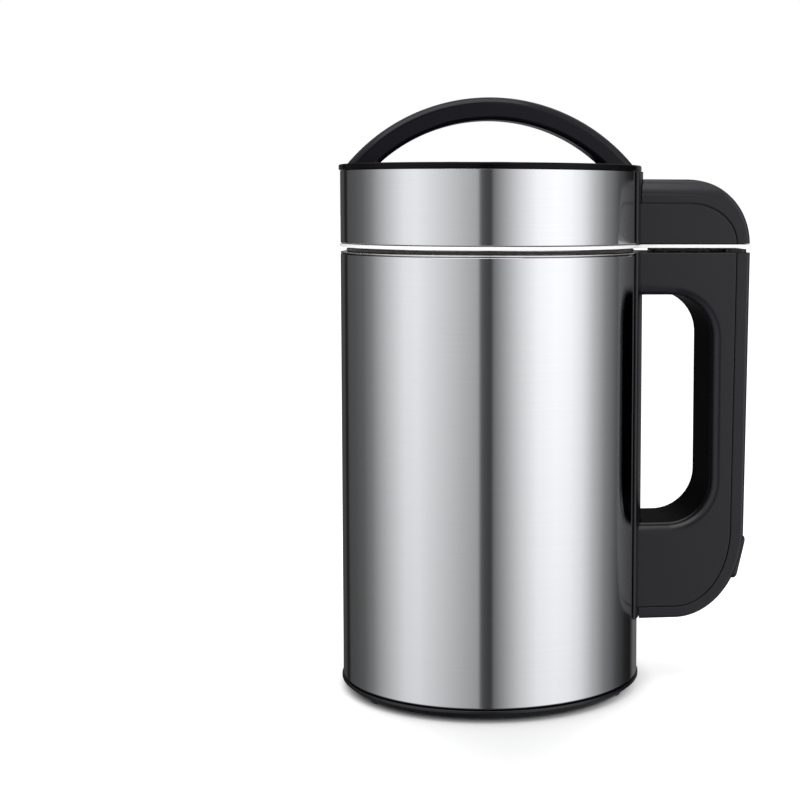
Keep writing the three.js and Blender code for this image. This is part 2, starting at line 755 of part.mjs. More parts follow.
// Mains inlet: a rounded cup with a bezel let into the cover, and three blade pins
function inletHousing() {
  const cup = inletBlock(0, -inletDepth, 0);
  const bezel = inletBlock(inletBezel, -bezelThickness, 0);
  const recessRadius = inletCornerRadius - inletWall / 2;
  const recess = inletBlock(-inletWall, inletWall - inletDepth, overrun, recessRadius);
  const slots = pinPlaces.map(([y, z]) => {
    return bladePin(y, z, gap, -inletDepth - overrun, overrun - inletDepth);
  });
  return cut(join(cup, bezel), recess, ...slots);
}

const pinPlaces = [
  [-bladePinSpacing, -bladePinOffset],
  [bladePinSpacing, -bladePinOffset],
  [0, bladePinOffset],
];

function bladePin(y, z, growth, inside, outside) {
  const width = bladePinWidth + 2 * growth;
  const geometry = new THREE.BoxGeometry(outside - inside, bladePinThickness + 2 * growth, width);
  return toSolid(onInletAxis(geometry.translate((inside + outside) / 2, y, z)));
}
add("inlet_housing", inletHousing(), blackPlastic);
const pinNames = ["inlet_pin_neutral", "inlet_pin_live", "inlet_pin_earth"];
pinPlaces.forEach(([y, z], i) => {
  add(pinNames[i], bladePin(y, z, 0, -inletDepth - tabLength, -bladePinRecess), brass);
});

// Socket of the power coupler in the top of the handle, with three blind contact holes
const couplerPinPlaces = [-couplerPinSpacing, 0, couplerPinSpacing].map((shift) => couplerX + shift);
const couplerHoleBottom = handleTop - couplerDepth + couplerFloor;
const couplerPinBottom = couplerHoleBottom + couplerPinTipSpace;
function couplerSocket() {
  const bottom = handleTop - couplerDepth;
  const shoulder = handleTop - handleWall - gap;
  const upper = couplerBlock(0, bottom, handleTop);
  const step = couplerBlock(couplerStep, shoulder - couplerStep, shoulder);
  const holes = couplerPinPlaces.map((x) => {
    const hole = disc(couplerPinRadius + runningGap, couplerHoleBottom, trimTop);
    return hole.translate([x, 0, 0]);
  });
  return cut(join(upper, step), ...holes);
}
add("coupler_socket", couplerSocket(), blackPlastic);

// Lead from the inlet up through the grip to the coupler: points of the side view, measured first from the
// end of the earth pin, then from the back of the handle and the bottom or the top of the finger opening
const leadStartRoute = [
  [-3.6, -0.9],
  [-2.3, 4.1],
];
const leadLowRoute = [
  [-18.2, -1.7],
  [-11.4, 8],
  [-8.2, 22],
];
const leadHighRoute = [
  [-7.8, -28.5],
  [-10.8, -7.5],
  [-16.9, 0.9],
  [-18.2, 3.1],
];
function supplyLead() {
  const tab = new THREE.Vector3(-inletDepth - tabLength, 0, bladePinOffset);
  tab.applyAxisAngle(new THREE.Vector3(0, 1, 0), radians(inletTilt));
  const from = (x, z) => ([along, up]) => new THREE.Vector3(x + along, 0, z + up);
  const start = leadStartRoute.map(from(inletReach + tab.x, inletHeight + tab.z));
  const low = leadLowRoute.map(from(handleReach, openingBottom));
  const high = leadHighRoute.map(from(handleReach, openingTop));
  const middleHeight = (low[low.length - 1].z + high[0].z) / 2;
  const middle = new THREE.Vector3(high[0].x, 0, middleHeight);
  return tube([...start, ...low, middle, ...high], leadRadius, leadSteps);
}
add("supply_lead", supplyLead(), cableGrey);

// The head, which lifts off as one
const head = new THREE.Group();
head.name = "head";
appliance.add(head);

function headSkirt() {
  const wall = ring(jugRadius - sheet, jugRadius, skirtBottom, skirtTop, ringSides);
  const leadHole = alongX(leadHoleRadius, jugRadius - overrun, jugRadius + overrun, skirtLeadHeight);
  return cut(wall, leadHole);
}
const skirtLeadRise = 14.6;
const skirtLeadHeight = skirtBottom + skirtLeadRise;
add("head_skirt", headSkirt(), brushedSteel, head);

// White trim ring with a tongue over the handle
const trimOverhang = 0.6;
const tongueSides = 4;
function trimRing() {
  const reach = handleReach + trimOverhang;
  const half = handleWidth / 2 + trimOverhang;
  const tongue = roundedRectangle(outlineStart, reach, -half, half, handleEdgeRadius);
  const plate = join(
    disc(jugRadius + trimOverhang / 2, trimBottom, trimTop, ringSides),
    raised(tongue, trimBottom, trimTop, tongueSides),
  );
  const neckRadius = housingNeckRadius + runningGap;
  const neck = disc(neckRadius, trimBottom - overrun, trimTop + overrun, ringSides);
  const nose = couplerBlock(gap - couplerStep, trimBottom - overrun, trimTop + overrun);
  return cut(plate, neck, nose);
}
add("trim_ring", trimRing(), whitePlastic, head);

const cupSealInset = 2.7; // seal inside the edge of the rim
const cupSealBottom = rimTop + gap;
function cupSeal() {
  const outer = jugRadius - cupSealInset;
  return ring(housingNeckRadius + gap, outer, cupSealBottom, cupSealBottom + sealThickness, ringSides);
}
add("cup_seal", cupSeal(), sealSilicone, head);

// Fairing over the handle, hollow towards its cover
function headFairing() {
  const outer = sideways(fairingOutline(coverSeam), handleWidth).intersect(above(skirtBottom));
  const hollow = sideways(fairingOutline(coverSeam - overrun), handleWidth - 2 * handleWall);
  const cavity = cut(hollow, jugSpace(flangeRadius + handleWall), below(skirtBottom + handleWall));
  const shellSide = cut(outer, cavity, jugSpace(jugRadius + gap));
  const plugHole = couplerBlock(gap, skirtBottom - overrun, skirtBottom + handleWall + overrun);
  const leadHole = alongX(leadHoleRadius, jugRadius - overrun, screwBossEnd, skirtLeadHeight);
  const strip = flange(skirtBottom, skirtBottom + upperCornerRise);
  return cut(join(shellSide, strip), plugHole, leadHole);
}
add("head_fairing", headFairing(), blackPlastic, head);

function fairingCover() {
  const outer = sideways(fairingOutline(0), handleWidth, handleEdgeRadius);
  const bodySpace = sideways(fairingOutline(coverSeam - gap), handleWidth + overrun);
  const inside = handleWidth - 2 * handleWall;
  const hollow = sideways(fairingOutline(handleWall), inside, handleEdgeRadius - handleWall);
  const cavity = cut(hollow, jugSpace(flangeRadius + gap + handleWall), below(skirtBottom + handleWall));
  return cut(outer, bodySpace, cavity, jugSpace(flangeRadius + gap), below(skirtBottom));
}
add("fairing_cover", fairingCover(), blackPlastic, head);

// Plug of the power coupler, and its pins
function couplerPlug() {
  const top = skirtBottom + couplerDepth;
  const body = couplerBlock(0, skirtBottom, top);
  const stop = couplerBlock(couplerStep, skirtBottom + handleWall + gap, top);
  const nose = couplerBlock(-couplerStep, trimBottom - couplerNoseDrop, skirtBottom + overrun);
  const holes = couplerPinPlaces.map((x) => {
    return disc(couplerPinRadius + gap, handleTop, top + overrun, bossSides).translate([x, 0, 0]);
  });
  return cut(join(body, stop, nose), ...holes);
}
add("coupler_plug", couplerPlug(), blackPlastic, head);
couplerPinPlaces.forEach((x, i) => {
  const top = skirtBottom + couplerDepth - couplerPinInset;
  const pin = disc(couplerPinRadius, couplerPinBottom, top, bossSides);
  add(`coupler_pin_${i + 1}`, pin.translate([x, 0, 0]), brass, head);
});

// Motor housing: a stepped bowl with a seat for the lower bearing
function motorHousing() {
  const flangeTop = skirtBottom + housingWall;
  const slope = housingWall / 2;
  const bore = shaftRadius + airGap;
  const bowl = turned([
    [bore, housingBottom],
    [fanBayRadius - housingCorner, housingBottom],
    [fanBayRadius, housingBottom + housingCorner],
    [fanBayRadius, motorLedge - 2 * housingWall],
    [motorBayRadius, motorLedge],
    [motorBayRadius, housingConeBottom],
    [housingNeckRadius, housingNeckBottom],
    [housingNeckRadius, skirtBottom],
    [housingFlangeRadius, skirtBottom],
    [housingFlangeRadius, flangeTop],
    [housingNeckRadius - housingWall, flangeTop],
    [housingNeckRadius - housingWall, housingNeckBottom + slope],
    [motorBayRadius - housingWall, housingConeBottom + slope],
    [motorBayRadius - housingWall, motorLedge],
    [fanBayRadius - housingWall, motorLedge],
    [fanBayRadius - housingWall, housingBottom + housingCorner + slope],
    [fanBayRadius - housingCorner - slope, housingBottom + housingWall],
    [bore, housingBottom + housingWall],
  ]);
  const floor = housingBottom + housingWall;
  return join(bowl, bearingSeat(floor - gap, floor + bearingWidth));
}

function bearingSeat(bottom, top) {
  return ring(bearingRadius + gap, bearingRadius + gap + bearingSeatWall, bottom, top);
}
add("motor_housing", motorHousing(), polishedSteel, head);

function bearing(bottom) {
  return ring(shaftRadius + runningGap, bearingRadius, bottom, bottom + bearingWidth);
}
add("lower_bearing", bearing(housingBottom + housingWall + gap), polishedSteel, head);
add("upper_bearing", bearing(bracketTop + gap), polishedSteel, head);

// Stator: a laminated yoke with two poles across Y, and a coil round each pole
function statorCore() {
  const yoke = ring(yokeInner, statorRadius, stackBottom, stackTop, ringSides / 2);
  const half = poleNeckWidth / 2;
  const neckReach = yokeInner + gap;
  const necks = box(-half, half, -neckReach, neckReach, stackBottom, stackTop);
  const shoes = ring(shoeInner - overrun, shoeOuter, stackBottom, stackTop, ringSides / 2);
  const sideSlot = box(-statorRadius, statorRadius, -shoeHalfGap, shoeHalfGap, stackBottom, stackTop);
  const bore = disc(shoeInner, stackBottom - overrun, stackTop + overrun, ringSides / 2);
  return cut(join(yoke, necks, cut(shoes, sideSlot)), bore);
}
add("stator_core", statorCore(), laminatedIron, head);

function fieldCoil(side) {
  const bottom = stackBottom - coilOverhang;
  const top = stackTop + coilOverhang;
  const block = box(-coilOuter, coilOuter, coilNear, coilFar, bottom, top);
  const windowNear = coilNear - overrun;
  const windowFar = coilFar + overrun;
  const window = box(-coilInner, coilInner, windowNear, windowFar, stackBottom - gap, stackTop + gap);
  const coil = cut(block, window);
  return side > 0 ? coil : coil.rotate([0, 0, 180]);
}
add("field_coil_1", fieldCoil(1), copper, head);
add("field_coil_2", fieldCoil(-1), copper, head);

// Bracket that bridges the motor and carries the upper bearing
function motorBracket() {
  const reach = statorRadius - gap;
  const half = bracketWidth / 2;
  const top = bracketTop;
  const bridge = box(-reach, reach, -half, half, bracketBottom, top);
  const legWidth = yokeThickness - 2 * gap;
  const legs = [-1, 1].map((side) => {
    const outer = side * reach;
    const inner = side * (reach - legWidth);
    return box(Math.min(inner, outer), Math.max(inner, outer), -half, half, stackTop + gap, top);
  });
  const pad = disc(bearingRadius + gap + bearingSeatWall, bracketBottom, top);
  const seat = bearingSeat(top - gap, top + bearingWidth);
  const bore = disc(shaftRadius + airGap, bracketBottom - overrun, top + gap);
  const around = statorRadius + bracketWidth;
  const corners = ring(statorRadius, around, stackTop, top + overrun, ringSides / 2);
  return cut(join(bridge, pad, seat, ...legs), bore, corners);
}
add("motor_bracket", motorBracket(), aluminium, head);

// Shaft tube and the seal at its lower end
const tubeProfile = [
  [tubeRadius - tubeWall, tubeBottom],
  [tubeRadius, tubeBottom],
  [tubeRadius, tubeTop - tubeFlangeThickness],
  [tubeFlangeRadius, tubeTop - tubeFlangeThickness],
  [tubeFlangeRadius, tubeTop],
  [tubeRadius - tubeWall, tubeTop],
];
add("shaft_tube", turned(tubeProfile, smallSides + bossSides), polishedSteel, head);
const shaftSealRadius = tubeRadius - tubeWall - gap;
const shaftSeal = ring(shaftRadius + runningGap, shaftSealRadius, tubeBottom, tubeBottom + sealHeight);
add("shaft_seal", shaftSeal, sealSilicone, head);

// Probes under the housing
function probe(bottom, radius, angle) {
  const collar = disc(radius + probeCollarWidth, tubeTop - tubeFlangeThickness, tubeTop, bossSides);
  return placed(join(disc(radius, bottom, tubeTop, bossSides), collar), probeCircle, radians(angle));
}
const probeBottom = tubeBottom + probeRise;
const overflowProbeBottom = tubeTop - overflowProbeLength;
const temperatureProbe = probe(probeBottom, probeRadius, probeAngle);
const overflowProbe = probe(overflowProbeBottom, overflowProbeRadius, overflowProbeAngle);
add("temperature_probe", temperatureProbe, polishedSteel, head);
add("overflow_probe", overflowProbe, polishedSteel, head);

// Top plate: disc, spigot in the skirt, channel for the folded bail, holes and board pillars
const archStart = plateTop - bailCentreHeight;
const bailInnerRadius = bailRadius - bailDepth;
const archFoot = (radius) => Math.sqrt(radius ** 2 - archStart ** 2);
const bailEarInner = archFoot(bailInnerRadius);

function archPoints(radius, toPoint) {
  const start = Math.asin(archStart / radius);
  return Array.from({ length: archSides + 1 }, (_, i) => {
    const angle = start + ((Math.PI - 2 * start) * i) / archSides;
    const height = bailCentreHeight + radius * Math.sin(angle);
    return toPoint(radius * Math.cos(angle), height - bailPivotHeight);
  });
}

// Plan of the space that the bail sweeps below the plate as it folds back. Its far side is where the arch
// reaches when it lies flat, and its near side is where the arch's underside crosses the plate's top face.
const archStartHeight = plateTop - bailPivotHeight;
function channelOutline(growth) {
  const half = bailWidth / 2;
  const swept = archPoints(bailRadius, (x, height) => [x, Math.hypot(height, half) + growth]);
  const under = archPoints(bailInnerRadius, (x, height) => {
    return [x, Math.sqrt(Math.max(height ** 2 - archStartHeight ** 2, 0)) - growth];
  }).reverse();
  const footOuter = archFoot(bailRadius) + growth;
  const footInner = bailEarInner - growth;
  swept[0][0] = footOuter;
  swept[archSides][0] = -footOuter;
  under[0][0] = -footInner;
  under[archSides][0] = footInner;
  const points = [
    [footOuter, -half - growth],
    ...swept,
    [-footOuter, -half - growth],
    [-footInner, -half - growth],
    ...under,
    [footInner, -half - growth],
  ];
  return new THREE.Shape(points.map(([x, y]) => new THREE.Vector2(x, y)));
}

const buttonAngles = Array.from({ length: buttonCount }, (_, i) => {
  return ((i - (buttonCount - 1) / 2) * buttonSpacing) / buttonPitchRadius - Math.PI / 2;
});
const boardTop = plateBottom - boardDrop;
// Pillars stand along the board's outer edge, and nearer together along its inner one
const pillarPlaces = [-1, 1].flatMap((side) => [
  [side * (boardHalfLength - pillarMargin), pillarMargin - boardFar],
  [side * pillarNearSpread, -boardNear - pillarMargin / 2],
]);
function topPlate() {
  const spigotRadius = housingFlangeRadius;
  const channelBottom = bailPivotHeight - bailWidth / 2 - bailClearance;
  const plateEdge = plateThickness * plateEdgeShare;
  const plate = turned([
    [0, plateBottom],
    [plateRadius, plateBottom],
    [plateRadius, plateTop - plateEdge],
    [plateRadius - plateEdge, plateTop],
    [0, plateTop],
  ]);
  const spigotInner = spigotRadius - spigotWall;
  const spigot = ring(spigotInner, spigotRadius, plateBottom - spigotDepth, plateBottom + gap, ringSides);
  const wallOutline = channelOutline(bailClearance + channelWall);
  const walls = raised(wallOutline, channelBottom - channelWall, plateBottom + gap);
  const within = disc(spigotRadius, channelBottom - channelWall - overrun, plateTop, ringSides);
  const pillars = pillarPlaces.map(([x, y]) => {
    return disc(pillarRadius, boardTop + gap, plateBottom + gap, bossSides).translate([x, y, 0]);
  });
  const channel = raised(channelOutline(bailClearance), channelBottom, plateTop + overrun);
  const through = (radius, sides) => disc(radius, plateBottom - overrun, plateTop + overrun, sides);
  const buttonHoles = buttonAngles.map((angle) => {
    return placed(through(buttonRadius + runningGap, smallSides), buttonPitchRadius, angle);
  });
  const lensHole = placed(through(lensRadius + gap, bossSides), lensPitchRadius, -Math.PI / 2);
  const pinHoleEnd = pinReach + overrun;
  const pinHole = alongX(bailPinRadius + gap, -pinHoleEnd, pinHoleEnd, bailPivotHeight);
  const whole = join(plate, spigot, walls.intersect(within), ...pillars);
  return cut(whole, channel, lensHole, pinHole, ...buttonHoles);
}
const pinReach = bailFootReach + bailClearance + channelWall;
add("top_plate", topPlate(), glossBlack, head);

for (const side of [-1, 1]) {
  const inner = bailEarInner - bailClearance - channelWall;
  const ends = side > 0 ? [inner, pinReach - gap] : [gap - pinReach, -inner];
  const pin = alongX(bailPinRadius, ends[0], ends[1], bailPivotHeight);
  add(`bail_pin_${side > 0 ? 2 : 1}`, pin, polishedSteel, head);
}

const lensFlangeTop = plateBottom - gap;
const lens = join(
  disc(lensRadius, plateBottom - lensSink, plateTop + lensRise, bossSides),
  disc(lensFlangeRadius, lensFlangeTop - lensFlangeThickness, lensFlangeTop, bossSides),
);
add("indicator_lens", placed(lens, lensPitchRadius, -Math.PI / 2), lensBlue, head);

// Control board with a switch under each button
const buttonBottom = plateBottom - gap - buttonTravel - buttonFlangeThickness - buttonStemLength;
function controlBoard() {
  const bottom = boardTop - boardThickness;
  const board = box(-boardHalfLength, boardHalfLength, -boardFar, -boardNear, bottom, boardTop);
  const half = switchSide / 2;
  const switchTop = buttonBottom - buttonTravel - gap;
  const switches = buttonAngles.map((angle) => {
    const key = box(-half, half, -half, half, boardTop - gap, switchTop);
    return placed(key, buttonPitchRadius, angle);
  });
  return join(board, ...switches);
}
add("control_board", controlBoard(), boardGreen, head);

// Buttons, each with a flange under the plate and a stem over its switch
const buttonNames = ["button_mode", "button_start", "button_stop"];
buttonAngles.forEach((angle, i) => {
  const flangeTop = plateBottom - gap;
  const flangeBottom = flangeTop - buttonFlangeThickness;
  const button = turned(
    [
      [0, buttonBottom],
      [buttonStemRadius, buttonBottom],
      [buttonStemRadius, flangeBottom],
      [buttonFlangeRadius, flangeBottom],
      [buttonFlangeRadius, flangeTop],
      [buttonRadius, flangeTop],
      [buttonRadius, plateTop + buttonRise - gap],
      [buttonRadius - gap, plateTop + buttonRise],
      [0, plateTop + buttonRise],
    ],
    smallSides,
  );
  add(buttonNames[i], placed(button, buttonPitchRadius, angle), buttonGrey, head);
});

// Carry bail: an arch with straight ears that turn on the pins
function bailHandle() {
  const points = [
    [bailEarOuter, -bailWidth / 2],
    [bailEarOuter, 0],
    ...archPoints(bailRadius, (x, height) => [x, height]),
    [-bailEarOuter, 0],
    [-bailEarOuter, -bailWidth / 2],
    [-bailEarInner, -bailWidth / 2],
    ...archPoints(bailInnerRadius, (x, height) => [x, height]).reverse(),
    [bailEarInner, -bailWidth / 2],
  ];
  const shape = new THREE.Shape(points.map(([x, height]) => new THREE.Vector2(x, height + bailPivotHeight)));
  const arch = sideways(shape, bailWidth, bailEdgeRadius);
  const half = bailWidth / 2 + overrun;
  const above = box(-everything, everything, -half, half, bailPivotHeight, bailPivotHeight + jugRadius);
  const roundEars = alongX(bailWidth / 2, -everything, everything, bailPivotHeight, smallSides);
  const pinHole = alongX(bailPinRadius + gap, -everything, everything, bailPivotHeight);
  return cut(arch.intersect(join(above, roundEars)), pinHole);
}
add("bail_handle", bailHandle(), bailPlastic, head);

// Rotor: shaft, armature, commutator, fan, blade and nut
const rotor = new THREE.Group();
rotor.name = "rotor";
head.add(rotor);

const bladeTop = bladeHeight + bladeThickness;
const shaftBottom = bladeHeight - 2 * collarHeight;
const shaft = join(
  disc(shaftRadius, shaftBottom, shaftTop),
  disc(collarRadius, bladeTop + gap, bladeTop + gap + collarHeight),
);
add("drive_shaft", shaft, polishedSteel, rotor);

const rotorBore = shaftRadius + gap;
const armatureProfile = [
  [rotorBore, windingBottom],
  [windingRadius, windingBottom],
  [windingRadius, stackBottom],
  [armatureRadius, stackBottom],
  [armatureRadius, stackTop],
  [windingRadius, stackTop],
  [windingRadius, windingTop],
  [rotorBore, windingTop],
];
add("armature", turned(armatureProfile, smallSides + bossSides), laminatedIron, rotor);

const commutatorTop = commutatorBottom + commutatorHeight;
add("commutator", ring(rotorBore, commutatorRadius, commutatorBottom, commutatorTop), copper, rotor);

function coolingFan() {
  const hub = ring(rotorBore, bladeHubRadius, fanBottom, fanBottom + fanHeight);
  const web = ring(rotorBore, fanRadius, fanBottom, fanBottom + bladeThickness, smallSides + bossSides);
  const half = bladeThickness / 2;
  const vaneStart = bladeHubRadius - sheet;
  const vane = box(vaneStart, fanRadius, -half, half, fanBottom + half, fanBottom + fanHeight);
  const vanes = Array.from({ length: fanBladeCount }, (_, i) => {
    return vane.rotate([0, 0, (360 * i) / fanBladeCount]);
  });
  return join(hub, web, ...vanes);
}
add("cooling_fan", coolingFan(), blackPlastic, rotor);

// Blade with two arms bent up and two bent down
function blade() {
  const hub = ring(rotorBore, bladeHubRadius, bladeHeight, bladeTop);
  const half = bladeArmWidth / 2;
  const bend = bladeHubRadius - bladeBendInset;
  const outline = new THREE.Shape();
  outline.moveTo(0, -half);
  outline.lineTo(bladeRadius - bend, -half * armTipShare);
  outline.lineTo(bladeRadius - bend, half);
  outline.lineTo(0, half);
  outline.closePath();
  const flat = raised(outline, 0, bladeThickness);
  const arms = Array.from({ length: bladeArms }, (_, i) => {
    const tilt = i % 2 ? bladeTilt : -bladeTilt;
    const arm = flat.rotate([0, tilt, 0]).translate([bend, 0, bladeHeight]);
    return arm.rotate([0, 0, (360 * i) / bladeArms]);
  });
  const bore = disc(rotorBore, bladeHeight - 2 * overrun, bladeTop + 2 * overrun);
  return cut(join(hub, ...arms), bore);
}
add("blade", blade(), polishedSteel, rotor);

const nutTop = bladeHeight - gap;
const nutBottom = shaftBottom - gap - collarHeight;
const hexSides = 6;
const nutCapRadius = rotorBore + sheet;
const nut = cut(
  join(disc(nutRadius, nutTop - nutHexHeight, nutTop, hexSides), disc(nutCapRadius, nutBottom, nutTop - gap)),
  disc(rotorBore, shaftBottom - gap, nutTop + overrun),
);
add("blade_nut", nut, polishedSteel, rotor);

// Stand on the middle of the whole appliance's plan
appliance.position.x = (plateRadius - handleReach - trimOverhang) / 2;

export default appliance;
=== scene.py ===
import math
from contextlib import contextmanager

import bmesh
import bpy
from bpy.props import FloatProperty, FloatVectorProperty, IntProperty, PointerProperty
from bpy.types import Operator, Panel, PropertyGroup
from mathutils import Matrix, Vector


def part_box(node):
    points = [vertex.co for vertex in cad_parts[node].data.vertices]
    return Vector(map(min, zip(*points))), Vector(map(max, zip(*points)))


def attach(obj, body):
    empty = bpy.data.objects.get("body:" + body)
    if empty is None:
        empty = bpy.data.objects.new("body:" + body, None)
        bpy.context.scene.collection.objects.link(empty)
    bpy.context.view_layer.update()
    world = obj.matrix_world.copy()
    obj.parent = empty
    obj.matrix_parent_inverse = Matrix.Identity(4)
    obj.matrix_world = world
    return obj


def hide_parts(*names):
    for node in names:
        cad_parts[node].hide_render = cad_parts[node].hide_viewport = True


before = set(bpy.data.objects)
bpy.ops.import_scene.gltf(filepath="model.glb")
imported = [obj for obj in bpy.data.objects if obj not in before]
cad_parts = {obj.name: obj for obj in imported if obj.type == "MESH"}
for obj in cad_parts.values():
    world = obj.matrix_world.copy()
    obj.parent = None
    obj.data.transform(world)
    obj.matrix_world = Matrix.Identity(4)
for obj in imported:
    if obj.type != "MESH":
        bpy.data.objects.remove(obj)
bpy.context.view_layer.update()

bl_info = {
    "name": "Soy milk maker",
    "version": (1, 0, 0),
    "blender": (4, 5, 0),
    "location": "3D View > Sidebar > Soy milk",
    "description": "Models and finishes a steel soy milk maker round its fixed frame",
    "category": "Add Mesh",
}

MM = 0.001
MERGE = 0.002 * MM
OVERRUN = 2 * MM
GAP = 0.3 * MM
ROUND_STEPS = 8
CREASE = 30


def box_of(node):
    """A frame node's lowest and highest corners, measured from the jug's axis."""
    low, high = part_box(node)
    shift = Vector((AXIS, 0, 0))
    return low - shift, high - shift


shell_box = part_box("jug_shell")
AXIS = (shell_box[0].x + shell_box[1].x) / 2
JUG_LOW, JUG_HIGH = box_of("jug_shell")
JUG_RADIUS = JUG_HIGH.x
BASE_LOW, BASE_HIGH = box_of("base_ring")
DISC_LOW, DISC_HIGH = box_of("base_plate")
CUP_LOW, CUP_HIGH = box_of("inner_cup")
BODY_LOW = box_of("handle_body")[0]
COVER_LOW, COVER_HIGH = box_of("handle_cover")
LINER_LOW, LINER_HIGH = box_of("grip_liner")
TRIM_LOW, TRIM_HIGH = box_of("trim_ring")
SKIRT_LOW, SKIRT_HIGH = box_of("head_skirt")
FAIRING_HIGH = box_of("head_fairing")[1]
TOP_HIGH = box_of("top_plate")[1]
BAIL_HIGH = box_of("bail_handle")[1]
PIN_LOW, PIN_HIGH = box_of("bail_pin_2")
SOCKET_LOW, SOCKET_HIGH = box_of("coupler_socket")
PLUG_LOW, PLUG_HIGH = box_of("coupler_plug")
HOUSING_LOW, HOUSING_HIGH = box_of("motor_housing")
TUBE_LOW, TUBE_HIGH = box_of("shaft_tube")
SHAFT_LOW, SHAFT_HIGH = box_of("drive_shaft")
HANDLE_TOP = COVER_HIGH.z
HANDLE_REACH = COVER_HIGH.x
PIVOT_HEIGHT = (PIN_LOW.z + PIN_HIGH.z) / 2
PLATE_BOTTOM = TOP_HIGH.z - 2.5 * MM
SPIGOT_BOTTOM = PLATE_BOTTOM - 6 * MM
SPIGOT_RADIUS = 68.8 * MM
START = 40 * MM
OPENING_START = 52 * MM
HANDLE_SCREWS = [box_of(f"handle_screw_{index}") for index in (1, 2)]
SCREW_HEIGHTS = [(low.z + high.z) / 2 for low, high in HANDLE_SCREWS]
SCREW_HOLE = 2.3 * MM
BOSS_RADIUS = 4 * MM
BOSS_END = 77 * MM
LEAD_HOLE = 3.5 * MM
BEARING_SPAN = 71 * MM
PIN_HOLE = 2.8 * MM
LEAD_HEIGHTS = (COVER_LOW.z + 22.7 * MM, SKIRT_LOW.z + 14.6 * MM)
BUTTON_ANGLES = [math.radians(-90) + step * 20.87 / 46 for step in (-1, 0, 1)]
BUTTON_CIRCLE = 46 * MM
LENS_CIRCLE = 60 * MM
BASE_SCREW_HOLE = 1.8 * MM
COUPLER_STEP = 1.6 * MM
QUARTER = [math.pi / 2 * step / 8 for step in range(9)]
INLET_ACROSS, INLET_RISE = 13.5 * MM, 9.3 * MM
INLET_PLACE = (HANDLE_REACH - 1.784 * MM, 0, COVER_LOW.z + 27.2 * MM)
INLET_TILT = math.radians(13)
BEZEL_DEPTH = 6 * MM
BEZEL_GROWTH = 1.2 * MM
BEZEL_WIDEN = 4.8 * MM


def length(name, description, millimetres):
    """A size that a user may change, given in millimetres."""
    return FloatProperty(
        name=name, description=description, default=millimetres * MM, unit="LENGTH", precision=5
    )


def tint(name, description, red, green, blue):
    """A colour that a user may change."""
    return FloatVectorProperty(
        name=name, description=description, default=(red, green, blue), subtype="COLOR", min=0, max=1
    )


class JugSizes(PropertyGroup):
    """Sizes of the steel jug, its cup and its base."""

    sheet: length("Sheet", "Thickness of the steel", 0.8)
    curl: length("Curl", "How far the bottom edge of the shell turns in", 2.4)
    cup_wall: length("Wall space", "From the outside of the jug to the inside of the cup", 8)
    cup_corner: length("Cup corner", "Radius between the cup's wall and floor", 12)
    rim_roll: length("Rim roll", "Rounding of the cup's flange", 0.32)
    lip_taper: length("Base taper", "How far the base ring draws in at its foot", 3.8)
    edge: length("Edge", "Small rounding on moulded edges", 0.5)
    turns: IntProperty(name="Facets", description="Steps round the large pieces", default=192, min=32)


class HandleSizes(PropertyGroup):
    """Sizes of the handle and of the fairing over it."""

    corner_reach: length("Lower corner reach", "Lower corner of the handle, along the jug's radius", 32.6)
    corner_rise: length("Lower corner rise", "Lower corner of the handle, upwards", 41.7)
    upper_reach: length("Upper corner reach", "Upper corner of the fairing, along the radius", 29)
    band: length("Cover band", "Depth of the outer cover seen from the side", 6.7)
    band_share: FloatProperty(name="Bottom share", description="Share of the band at the bottom", default=0.85)
    top_share: FloatProperty(name="Top share", description="Share of the band at the top", default=1.72)
    edge: length("Outer rounding", "Rounding along the outside of the handle", 1.9)
    crown: length("Crown", "Rounding along the top of the fairing", 7)
    crown_crease: FloatProperty(
        name="Crown crease", description="Angle at which the crown rises from its ledge and meets the top",
        default=math.radians(7), unit="ROTATION",
    )
    ledge: length("Ledge", "Width of the ledge at the foot of the crown", 0.6)
    ledge_back: length("Ledge at the back", "From the back of the fairing to its ledge", 2.1)
    ledge_edge: length("Ledge edge", "Tiny rounding along the ledge", 0.35)
    lean: length("Lean", "How far the back of the handle leans in towards its foot", 1.5)
    back_inset: length("Back inset", "Back of the handle inside the trim's tongue", 0.05)
    lap: length("Lap", "Lip of the body that closes the seam behind the cover", 1)
    lip: length("Opening lip", "Rounding of the body into the finger opening", 4.5)
    opening_corner: length("Opening corner", "Corner radius of the finger opening", 20)
    opening_drop: length("Opening drop", "Foot of the opening below the frame's", 1.6)
    opening_dip: length("Opening dip", "Top of the opening below the frame's", 0.6)
    liner: length("Liner", "Wall of the glossy liner", 2)
    wall: length("Wall", "Wall of the mouldings", 2.2)
    seam: length("Seam edge", "Tiny rounding on both sides of the seam", 0.45)
    strip: length("Strip", "Strip that hugs the steel", 1.1)
    strip_angle: FloatProperty(
        name="Strip angle", description="Half of the strip's spread round the jug", default=math.radians(24),
        unit="ROTATION",
    )


class HeadSizes(PropertyGroup):
    """Sizes of the lift-off head."""

    plate_edge: length("Plate edge", "Rounding of the top plate's rim", 0.8)
    channel_lip: length("Channel lip", "Rounding at the mouth of the bail's channel", 0.5)
    button_dish: length("Button dish", "Hollow in the top of each button", 0.35)
    mark: length("Mark", "Height of the marks on the buttons", 0.2)
    trim_edge: length("Trim edge", "Rounding of the white trim", 0.6)
    trim_overhang: length("Trim overhang", "How far the trim's tongue stands out past the handle", 0.6)
    trim_corner: length("Trim corner", "Corner radius of the trim's tongue", 3)
    trim_lift: length("Trim lift", "Room left free under the trim", 0.4)
    button_drop: length("Button drop", "Top of the buttons below their highest room", 0.5)
    trim_inset: length("Trim inset", "End of the trim's tongue inside the furthest reach", 0.1)


